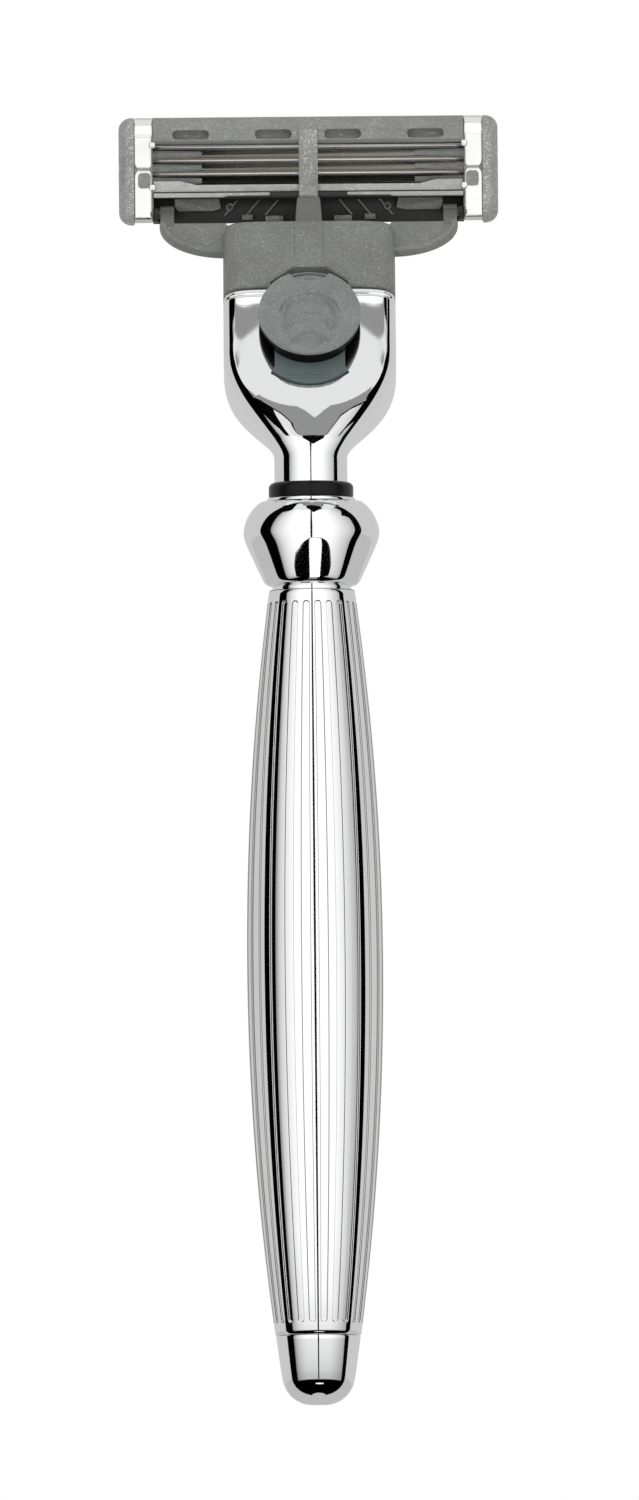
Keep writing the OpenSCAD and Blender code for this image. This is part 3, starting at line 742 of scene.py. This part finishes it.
def make_ends():
    kit = Kit(unit)

    def one():
        # outer cap: D-shaped from behind, rounded all round its outer edge
        rings = []
        w = UX - CLIP_X1
        for k in range(13):
            a = math.radians(90 * k / 12)
            inset = 1.25 * (1 - math.cos(a))
            x, back = CLIP_X1 + 0.28 + (w - 0.28) * math.sin(a), inset * 0.9
            ring = round_rect(UYB + back, UYF - back, UZ0 + inset, UZ1 - inset, 1.45, 7)
            rings.append([(x, y, z) for y, z in ring])
        root = round_rect(UYB + 0.02, UYF - 0.02, UZ0 + 0.02, UZ1 - 0.02, 1.55, 7)
        rings.insert(0, [(CLIP_X1, y, z) for y, z in root])
        kit.skin(rings)

    kit.both(one)
    ob = shade(kit.mesh("end_pieces"), 40)
    return dress(ob, "blade_unit", SPARKLE, "sparkle_grey", "blade_housing")


def make_core():
    """Walls under the clips, and the cap bar with its four slots."""
    core = Kit(unit)
    wall = round_rect(UYB + 0.27, UYF - 0.27, UZ0 + 0.27, UZ1 - 0.27, 1.3, 6)
    core.both(lambda: core.along_x(wall, CLIP_X0, CLIP_X1 + 0.05))
    # section (y, z) of the cap bar
    bar = [(UYF - 0.4, UZ1 - 0.7), (UYF - 0.9, UZ1 - 0.1), (UYB + 1.4, UZ1), (UYB + 0.8, UZ1 - 0.25),
           (UYB + 0.3, UZ1 - 1.15), (UYB + 0.25, BAR_Z + 0.35), (UYB + 0.5, BAR_Z), (1.35, BAR_Z),
           (1.4, BAR_Z + 0.45), (UYF - 0.4, BAR_Z + 0.5)]
    core.along_x(bar, -CLIP_X0 - 0.02, CLIP_X0 + 0.02)
    ob = core.mesh("cartridge_core")
    cuts, bays = Kit(unit), Kit(unit)
    for x in (-13, -3.85, 3.85, 13):
        cuts.along_y(round_rect(x - 2.0, x + 2.0, BAR_Z + 0.5, BAR_Z + 1.45, 0.42), UYB - 0.5, UYB + 1.6)
    cuts.block(-16.9, 16.9, 1.4, UYF + 1, BAR_Z + 0.5, UZ1 - 0.5)
    bays.both(lambda: bays.block(0, 18.5, 1.05, UYF + 1, 2.8, BAR_Z - 0.05))
    carve(ob, cuts.mesh("cut_slots"), bays.mesh("cut_bays"))
    shade(soften(ob, 0.1, 30, 2), 40)
    return dress(ob, "blade_unit", BAR, "sparkle_grey")


PIN_X, PIN_Z = 8.75, 0.75


def make_guard():
    g = Kit(unit)
    gx = CLIP_X0 - 0.02
    g.block(-gx, gx, 0.9, 1.8, UZ0 + 0.2, 2.55)
    g.block(-gx, gx, -1.65, 1.0, 1.6, 2.15)
    g.both(lambda: g.block(16.62, gx, -1.2, 1.0, UZ0 + 0.25, 0.5))
    ob = shade(soften(g.mesh("guard_body"), 0.05, 30, 2), 40)
    dress(ob, "blade_unit", DARK, "black_plastic")
    bars = Kit(unit)

    def pale():
        # pale bar with a raised outer step, and the thin bright bar under it
        bars.skin([[(x, y, z) for y, z in round_rect(-1.6, -0.75, 2.25, top, 0.12, 3)]
                   for x, top in ((1.0, 3.05), (12.4, 3.05), (14.2, 3.5), (17.15, 3.5))])
        bars.skin([[(x, y, z) for y, z in round_rect(-2.05, -1.3, lo, 2.12, 0.12, 3)]
                   for x, lo in ((4.3, 1.75), (9.0, 1.75), (9.4, 1.62), (17.15, 1.62))])

    bars.both(pale)
    ob = shade(soften(bars.mesh("guard_bars"), 0.05, 35, 2), 40)
    dress(ob, "blade_unit", PALE, "sparkle_grey")
    lit = Kit(unit)

    def tabs():
        tab = [(9.7, 0.55), (10.6, 0.3), (14.5, 0.3), (14.85, 0.7), (14.85, 1.62), (9.9, 1.62)]
        lit.along_y(tab, 0.15, 0.95)
        lit.block(2.8, 4.8, 0.1, 0.95, -0.95, -0.3)
        lit.block(6.2, 7.4, 0.1, 0.95, -0.7, -0.15)
        for x in (3.2, 5.3, 7.7):
            lit.along_y([(x, 1.55), (x + 0.3, 1.55), (x + 1.75, -0.2), (x + 1.45, -0.2)], 0.6, 0.95)
        lit.along_y(circle(PIN_X, PIN_Z, 0.42, 28), 0.55, 0.95)

    lit.both(tabs)
    ob = shade(soften(lit.mesh("guard_ribs"), 0.05, 35, 2), 40)
    dress(ob, "blade_unit", SATIN, "satin_grey")
    pins = Kit(unit)
    pins.both(lambda: pins.along_y(circle(PIN_X, PIN_Z, 0.27, 24), 0.5, 0.9))
    dress(shade(pins.mesh("guard_pins"), 40), "blade_unit", BLACK, "black_plastic")


def make_rib():
    cy, cz, r, hw = -1.244, 1.9, 0.6, 1.05
    kit = Kit(unit)
    web = [(UYB, cz + 0.95), (UYB + 0.75, cz + 0.95), (UYB + 0.75, BAR_Z + 1.6), (UYB + 0.25, BAR_Z + 1.6),
           (UYB, BAR_Z + 1.3)]
    kit.along_x(web, -hw, hw)
    foot = arc(cy, cz, r, 180, 360, 12) + [(cy + r, cz + 0.9), (UYB, cz + 0.98), (UYB, cz + 0.86)]
    kit.along_x(foot, -hw, hw)
    ob = shade(soften(kit.mesh("centre_rib"), 0.08, 40, 2), 40)
    return dress(ob, "blade_unit", SPARKLE, "sparkle_grey")


def make_fingers():
    """Three moulded springs on each side, from the end walls in under the blades."""
    kit = Kit(unit)
    pitch, top = 1.48, BAR_Z - 0.34

    def one():
        for i in (0, 1, 2):
            z = top - i * pitch - pitch / 2
            rings = []
            for k in range(13):
                u = k / 12
                x = CLIP_X0 + 0.05 - (CLIP_X0 - 11.75) * u
                hi, lo = z + 0.42 - 0.12 * u * u, z - 0.46 + 0.22 * u ** 1.5
                deep = -0.75 + 0.55 * math.sin(math.pi * u) * 0.6
                section = [(deep, hi), (deep - 0.16, (hi + lo) / 2 + 0.12), (deep, lo),
                           (deep + 0.5, lo), (deep + 0.5, hi)]
                rings.append([(x, y, zz) for y, zz in section])
            kit.skin(rings)

    kit.both(one)
    ob = shade(kit.mesh("spring_fingers"), 35)
    return dress(ob, "blade_unit", SATIN, "satin_grey")


def make_clip(side):
    """Folded strip: flat back with a pinch, a dimple and two nubs, wrapped over both ends."""
    x0, x1, t = CLIP_X0 + 0.06, CLIP_X1 - 0.05, 0.24
    kit = Kit(unit)
    path = []
    r, pinch, dimple_x, dimple_z = 1.6, 4.75, 18.15, 3.5
    zs = [UZ1 - r - (UZ1 - UZ0 - 2 * r) * i / 110 for i in range(111)]
    # path (y, z) of the strip: up the front, over the top, down the back, round the lower edge
    path += [(UYF - 0.02, UZ0 + r + (UZ1 - UZ0 - 2 * r) * i / 6) for i in range(7)]
    for a in range(10, 91, 10):
        t1 = math.radians(a)
        path.append((UYF - r + r * math.cos(t1), UZ1 - r + r * math.sin(t1)))
    for a in range(10, 91, 10):
        t1 = math.radians(a)
        path.append((UYB + r - r * math.sin(t1), UZ1 - r + r * math.cos(t1)))
    path += [(UYB, z) for z in zs[1:]]
    for a in range(10, 80, 10):
        t1 = math.radians(a)
        path.append((UYB + r - r * math.cos(t1), UZ0 + r - r * math.sin(t1)))
    cols = 33
    outer, inner = [], []
    n = len(path)
    for j, (y, z) in enumerate(path):
        a, b = path[max(0, j - 1)], path[min(n - 1, j + 1)]
        tan = Vector((b[0] - a[0], b[1] - a[1])).normalized()
        nor = Vector((-tan[1], tan[0]))
        mid = Vector(((UYF + UYB) / 2, (UZ0 + UZ1) / 2)) - Vector((y, z))
        if nor.dot(mid) < 0:
            nor = -nor
        on_back = y < UYB + 0.3
        ro, ri = [], []
        for i in range(cols):
            u = i / (cols - 1)
            left, right = x0, x1
            if on_back:
                left += (0.16 * math.exp(-((z - pinch) / 0.3) ** 2)
                         + 0.1 * (1 / (1 + math.exp((z - 8.3) / 0.04))))
                right -= 0.3 * math.exp(-((z - pinch) / 0.4) ** 2)
            x = left + (right - left) * u
            sink = 0.0
            if on_back:
                sink += 0.22 * math.exp(-((z - pinch) / 0.13) ** 2)
                sink += 0.12 * (1 / (1 + math.exp((z - 8.45) / 0.05)))
                dd = (abs((x - dimple_x) / 0.64) ** 4 + abs((z - dimple_z) / 0.78) ** 4) ** 0.25
                sink += 0.3 * min(1, max(0, (1.1 - dd) / 0.22))
            sink += 0.05 * (max(0, abs(u - 0.5) - 0.42) / 0.08) ** 2
            ro.append((x, y + nor[0] * sink, z + nor[1] * sink))
            ri.append((x, y + nor[0] * (t + sink * 0.2), z + nor[1] * (t + sink * 0.2)))
        outer.append(ro)
        inner.append(ri)
    rings = [o + i[::-1] for o, i in zip(outer, inner)]
    kit.skin([[(x * side, y, z) for x, y, z in ring] for ring in rings])
    name = "clip_right" if side > 0 else "clip_left"
    # two nubs on the inner edge
    for z in (7.45, 2.75):
        nub = []
        for y, k in ((UYB + 0.6, 0), (UYB + 0.16, 0), (UYB + 0.05, 0.1)):
            pad = round_rect(CLIP_X0 - 0.33 + k, CLIP_X0 + 0.42 - k, z - 0.36 + k, z + 0.36 - k, 0.14, 3)
            nub.append([(x * side, y, zz) for x, zz in pad])
        kit.skin(nub)
    ob = shade(kit.mesh(name + "_skin"), 50)
    return dress(ob, "blade_unit", CLIP, "clip_metal", name)


def make_support(i):
    """Bent steel strip that carries a blade; seen from behind as a bright edge over a dark slot."""
    node, body = "blade_support_%d" % i, "floating_blade_%d" % i
    lo, hi = box(node)
    y0, y1 = lo[1] - HINGE[1], hi[1] - HINGE[1]
    z1 = hi[2] - HINGE[2]
    x1 = hi[0]
    a = math.radians(21.5)
    kit = Kit(unit)
    t = 0.22
    leg = z1 - 0.14
    run = 0.98
    tip = (min(1.6 + run * math.sin(a) - 0.02, y1 - 0.02), z1 - run * math.cos(a))
    over, under = leg + t / 2, leg - t / 2
    heel = (tip[0] - t * math.cos(a) * 0.9, tip[1] - t * math.sin(a) * 0.9)
    ring = [(y0 + 0.03, under - 0.02), (y0, leg - 0.02), (y0 + 0.03, over), (1.3, over), (1.48, over - 0.03),
            (1.58, over - 0.12), tip, heel, (1.37, under - 0.12), (1.22, under)]
    kit.along_x(ring, -x1, x1)
    ob = shade(soften(kit.mesh(node + "_strip"), 0.03, 35, 2), 40)
    dress(ob, body, STEEL, "steel", node)


def make_fins():
    kit = Kit(unit)
    lo, hi = box("guard_fins")
    z0, z1, yf, x1 = lo[2] - HINGE[2], hi[2] - HINGE[2], hi[1] - HINGE[1], hi[0]
    kit.block(-x1, x1, 1.8, 2.1, z0, z1)
    count, pitch = 6, 0.55
    for i in range(count):
        z = z0 + 0.06 + i * pitch
        w = x1 - 0.1 * i
        fin = ((2.05, z - 0.03), (yf - 0.12, z + 0.02), (yf, z + 0.1),
               (yf - 0.08, z + 0.2), (2.05, z + 0.27))
        kit.skin([[(x, y, zz) for y, zz in fin] for x in (-w, -w + 0.15, w - 0.15, w)])
    ob = shade(soften(kit.mesh("fin_row"), 0.03, 40, 2), 40)
    return dress(ob, "blade_unit", FINS, "fin_rubber", "guard_fins")


def make_strip():
    lo, hi = box("lubricating_strip")
    z0, z1, y0, y1, x1 = lo[2] - HINGE[2], hi[2] - HINGE[2], lo[1] - HINGE[1], hi[1] - HINGE[1], hi[0]
    low_r, high_r = 0.35, 0.45
    prof = [(y0, z0), (y1 - low_r, z0)]
    for a in range(15, 91, 15):
        t = math.radians(a)
        prof.append((y1 - low_r + low_r * math.sin(t), z0 + low_r - low_r * math.cos(t)))
    prof += [(y1 - 0.02, (z0 + z1) / 2)] + arc(y1 - 0.5, z1 - high_r, high_r, 0, 90, 6) + [(y0, z1)]
    kit = Kit(unit)
    kit.along_x(prof, -x1, x1)
    ob = shade(soften(kit.mesh("strip_bar"), 0.06, 40, 2), 40)
    return dress(ob, "blade_unit", STRIP, "strip", "lubricating_strip")


make_grip()
make_end_cap()
make_knop()
make_seal()
make_head()
make_button()
make_slide()
make_hub()
make_wings()
make_plunger()
make_ends()
make_core()
make_guard()
make_rib()
make_fingers()
make_clip(1)
make_clip(-1)
for i in (1, 2, 3):
    make_support(i)
make_fins()
make_strip()

# CAD pieces that are shown as they are
KEPT = {"head_stud": STEEL, "mechanism_insert": BLACK, "plunger_spring": SPRING,
        "blade_1": EDGE, "blade_2": EDGE, "blade_3": EDGE}
for node, mat in KEPT.items():
    ob = frame["nodes"][node]
    ob.data.materials.clear()
    ob.data.materials.append(mat)


# ---------------------------------------------------------------- studio
def emitter(name, level=None):
    """Light of one level, or of the level that the point attribute of that name gives."""
    m = bpy.data.materials.new(name + "_glow")
    m.use_nodes = True
    nt = m.node_tree
    nt.nodes.clear()
    out, em = nt.nodes.new("ShaderNodeOutputMaterial"), nt.nodes.new("ShaderNodeEmission")
    em.inputs["Color"].default_value = (1, 1, 1, 1)
    if level is None:
        at = nt.nodes.new("ShaderNodeAttribute")
        at.attribute_name = "level"
        nt.links.new(at.outputs["Fac"], em.inputs["Strength"])
    else:
        em.inputs["Strength"].default_value = level
    nt.links.new(em.outputs[0], out.inputs[0])
    return m


def surface(name, points, faces, mat):
    me = bpy.data.meshes.new(name)
    me.from_pydata([tuple(p) for p in points], [], faces)
    ob = bpy.data.objects.new(name, me)
    bpy.context.scene.collection.objects.link(ob)
    me.materials.append(mat)
    for p in me.polygons:
        p.use_smooth = True
    return ob


def veil(ob, lights=True):
    """Shows only in reflections, and as a light where lights is true."""
    ob.visible_camera = False
    ob.visible_shadow = False
    ob.visible_diffuse = lights
    return ob


def card(name, stops, rows, r, lights=True):
    """Part of an upright cylinder round the handle: stops are (azimuth, level), rows (height, share)."""
    pts, faces, levels, cols = [], [], [], []
    for (a0, l0), (a1, l1) in zip(stops, stops[1:]):
        n = max(1, int(abs(a1 - a0) / 3))
        cols += [(a0 + (a1 - a0) * i / n, l0 + (l1 - l0) * i / n) for i in range(n)]
    cols.append(stops[-1])
    for a, level in cols:
        t = math.radians(a)
        for z, share in rows:
            pts.append((r * math.sin(t), -r * math.cos(t), z))
            levels.append(level * share)
    k = len(rows)
    for i in range(len(cols) - 1):
        for j in range(k - 1):
            faces.append((i * k + j, (i + 1) * k + j, (i + 1) * k + j + 1, i * k + j + 1))
    ob = surface(name, pts, faces, emitter(name))
    ob.data.attributes.new("level", "FLOAT", "POINT").data.foreach_set("value", levels)
    return veil(ob, lights)


def dome(name, el0, el1, level, r):
    """Part of a sphere round the origin, between two elevations."""
    n, m = 48, 8
    pts, faces = [], []
    for j in range(m + 1):
        el = math.radians(el0 + (el1 - el0) * j / m)
        flat, z = r * math.cos(el), r * math.sin(el)
        for i in range(n):
            a = 2 * math.pi * i / n
            pts.append((flat * math.sin(a), -flat * math.cos(a), z))
    for j in range(m):
        for i in range(n):
            k = (i + 1) % n
            faces.append((j * n + i, j * n + k, (j + 1) * n + k, (j + 1) * n + i))
    return veil(surface(name, pts, faces, emitter(name, level)))


def spot(name, az, az_half, z, z_half, power, level, r):
    """Rounded patch on an upright cylinder round the handle."""
    n, pts = 64, []
    for i in range(n):
        t = 2 * math.pi * i / n
        c, s = math.cos(t), math.sin(t)
        k = (abs(c) ** power + abs(s) ** power) ** (-1 / power)
        a = math.radians(az + az_half * k * c)
        pts.append((r * math.sin(a), -r * math.cos(a), z + z_half * k * s))
    middle = (r * math.sin(math.radians(az)), -r * math.cos(math.radians(az)), z)
    faces = [(i, (i + 1) % n, n) for i in range(n)]
    return veil(surface(name, pts + [middle], faces, emitter(name, level)), False)


def leaf(name, outline, height, level):
    """Level card in front of the handle; the outline (x, y) is in mm and the height in m."""
    pts = [(x * MM, y * MM, height) for x, y in outline]
    return veil(surface(name, pts, [tuple(range(len(pts)))], emitter(name, level)), False)


def tray(name, outline, height, level):
    """Level card that is seen from above and is clear from below."""
    ob = leaf(name, outline, height, level)
    nt = ob.data.materials[0].node_tree
    out = [q for q in nt.nodes if q.type == "OUTPUT_MATERIAL"][0]
    em = [q for q in nt.nodes if q.type == "EMISSION"][0]
    side, clear = nt.nodes.new("ShaderNodeNewGeometry"), nt.nodes.new("ShaderNodeBsdfTransparent")
    mix = nt.nodes.new("ShaderNodeMixShader")
    nt.links.new(side.outputs["Backfacing"], mix.inputs[0])
    nt.links.new(em.outputs[0], mix.inputs[1])
    nt.links.new(clear.outputs[0], mix.inputs[2])
    nt.links.new(mix.outputs[0], out.inputs[0])
    return ob


# outlines of the level cards: the first seven shape the head's reflections, the last two the knop's
OVER_GREY = [(0.5, -2.6), (1.7, 0.1), (2.6, 1.5), (14.0, 1.5), (19.2, -2.9), (11.0, -2.5), (7.5, -4.1),
             (8.7, -11.0), (7.3, -12.4), (0.3, -9.4), (-3.0, -10.6), (-5.7, -9.3), (-4.4, -6.2),
             (-5.8, -2.6), (-8.4, -1.3), (-13.4, 0.0), (-10.0, 1.5), (-1.6, 1.5), (-0.6, 0.2)]
OVER_EDGE = [(0.5, -3.0), (12.0, -1.0), (19.4, -3.0), (19.4, -4.0), (11.2, -3.7), (8.5, -5.2), (9.6, -11.4),
             (7.8, -13.2), (0.3, -10.4), (-3.4, -11.5), (-6.5, -9.6), (-5.3, -6.2), (-6.6, -3.4),
             (-8.8, -2.2), (-13.6, -0.9), (-10.0, 0.5)]
OVER_TIP = [(-3.2, -10.6), (0.3, -9.6), (8.0, -12.4), (10.0, -18.0), (2.3, -29.0), (-4.5, -15.2)]
FLAG_LEFT = [(-8.4, -1.9), (-12.9, -9.7), (-17.6, -16.1), (-24.0, -17.0), (-30.0, -14.0), (-30.0, -2.0),
             (-13.4, -0.6)]
FLAG_RIGHT = [(19.2, -3.0), (30.7, -12.2), (38.9, -21.7), (46.0, -18.0), (60.0, -14.0), (60.0, -3.0),
              (23.7, -2.4)]
SIDE_GREY = [(5.5, -2.4), (12.0, -0.8), (19.0, 0.5), (21.0, -1.2), (14.0, -2.9), (7.2, -4.0), (5.5, -4.1)]
SIDE_EDGE = [(20.5, -2.5), (23.5, -3.5), (28.5, 1.5), (24.0, 2.5), (20.5, 0.0)]
ARCH = [(-39.8, -43.4), (-35.0, -50.5), (-25.5, -57.0), (-15.0, -68.0), (-5.0, -79.0), (3.0, -83.5),
        (9.1, -84.6), (17.0, -83.0), (27.0, -75.0), (34.5, -64.0), (39.4, -51.8), (43.7, -41.0),
        (36.0, -37.0), (20.0, -41.0), (-18.0, -41.0), (-34.0, -37.0)]
SLOT = [(-4.0, -41.0), (-5.0, -60.0), (-5.0, -73.0), (-2.0, -79.5), (4.0, -82.0), (12.0, -82.0),
        (19.5, -78.5), (24.0, -72.0), (22.0, -58.0), (17.0, -41.0)]
OVER_H, SIDE_H, LOW_H, PLY = 0.03, 0.04, -0.0602, 0.0002
BLACK_CARD, GREY_CARD = 0.0, 0.3


def studio():
    """White room with a pale floor, and the cards that the plating reflects."""
    world = bpy.data.worlds.new("white_room")
    bpy.context.scene.world = world
    world.use_nodes = True
    bg = world.node_tree.nodes["Background"]
    bg.inputs["Color"].default_value = (1, 1, 1, 1)
    bg.inputs["Strength"].default_value = 1.0
    m, nt, b = tree("pale_floor")
    b.inputs["Base Color"].default_value = (0.84, 0.84, 0.84, 1)
    nt.links.new(spread(nt, noise(nt, (8, 8, 8), 3), 0.6, 0.75), b.inputs["Roughness"])
    z, reach = -0.55, 4
    corners = [(-reach, -reach, z), (reach, -reach, z), (reach, reach, z), (-reach, reach, z)]
    surface("floor", corners, [(0, 1, 2, 3)], m)
    dome("room", -30, 90, 0.62, 2.5)
    # two bright panels round the handle, the dark gap between them and dark strips beside them
    r, low, high, foot = 0.115, -0.1385, 0.225, -0.75
    rows = [(low, 0.4), (-0.126, 0.62), (-0.112, 0.9), (-0.1, 1.0), (high, 1.0)]
    right = [(1.8, 1.2), (32, 1.15), (45, 0.98), (60, 0.75), (70, 0.6), (77, 0.45)]
    left = [(-1.8, 1.2), (-32, 1.15), (-45, 0.98), (-58, 0.75), (-66, 0.52), (-71, 0.3)]
    card("panel_right", right, rows, r)
    card("panel_left", left, rows, r)
    dark = [(foot, 0.0), (high, 0.0)]
    card("gap", [(-1.8, 0), (1.8, 0)], [(high, 0.0), (low, 0.0)], r + 0.002, False)
    card("strip_right", [(77, 0), (92, 0)], dark, r, False)
    card("strip_left", [(-95, 0), (-71, 0)], dark, r, False)
    card("band_low", [(-95, 0), (92, 0)], [(foot, 0.0), (low, 0.0)], r, False)
    dome("ceiling", 63, 89.9, 0.84, 0.42)
    spot("lamp_low", 3, 15, -0.178, 0.007, 2.5, 1.15, r - 0.003)
    # cards in front of the head, and under the knop
    leaf("over_edge", OVER_EDGE, OVER_H + PLY, BLACK_CARD)
    leaf("over_grey", OVER_GREY, OVER_H, GREY_CARD)
    leaf("over_tip", OVER_TIP, OVER_H - PLY, BLACK_CARD)
    leaf("flag_left", FLAG_LEFT, OVER_H + 2 * PLY, BLACK_CARD)
    leaf("flag_right", FLAG_RIGHT, OVER_H + 2 * PLY, BLACK_CARD)
    for side, name in ((1, "right"), (-1, "left")):
        leaf("side_grey_" + name, [(x * side, y) for x, y in SIDE_GREY], SIDE_H, GREY_CARD)
        leaf("side_edge_" + name, [(x * side, y) for x, y in SIDE_EDGE], SIDE_H + PLY, BLACK_CARD)
    tray("arch", ARCH, LOW_H, BLACK_CARD)
    tray("lamp_slot", SLOT, LOW_H + PLY / 4, 1.2)


def camera():
    """Long lens that looks up a little at the middle of the razor."""
    data = bpy.data.cameras.new("camera")
    cam = bpy.data.objects.new("camera", data)
    bpy.context.scene.collection.objects.link(cam)
    bpy.context.scene.camera = cam
    low, high = TIP_Z, HINGE[2] + UZ1
    aim_x, aim_share, aim_lift = 0.68, 0.4988, 0.2
    aim = Vector((aim_x, 0, low + aim_share * (high - low) + aim_lift)) * MM
    el, roll = math.radians(-3.6), math.radians(0.5)
    back = Vector((0, -math.cos(el), math.sin(el)))
    xc = Vector((math.sin(roll), 0, math.cos(roll))).cross(back).normalized()
    yc = back.cross(xc)
    far, picture_height, film = 3.0, 0.1646, 36
    cam.matrix_world = Matrix.Translation(aim + far * back) @ Matrix((xc, yc, back)).transposed().to_4x4()
    data.lens, data.sensor_width = film * far / picture_height, film
    data.clip_start, data.clip_end = 0.1, 20
    data.dof.use_dof = False
    bpy.context.scene.view_settings.view_transform = "Standard"


studio()
camera()
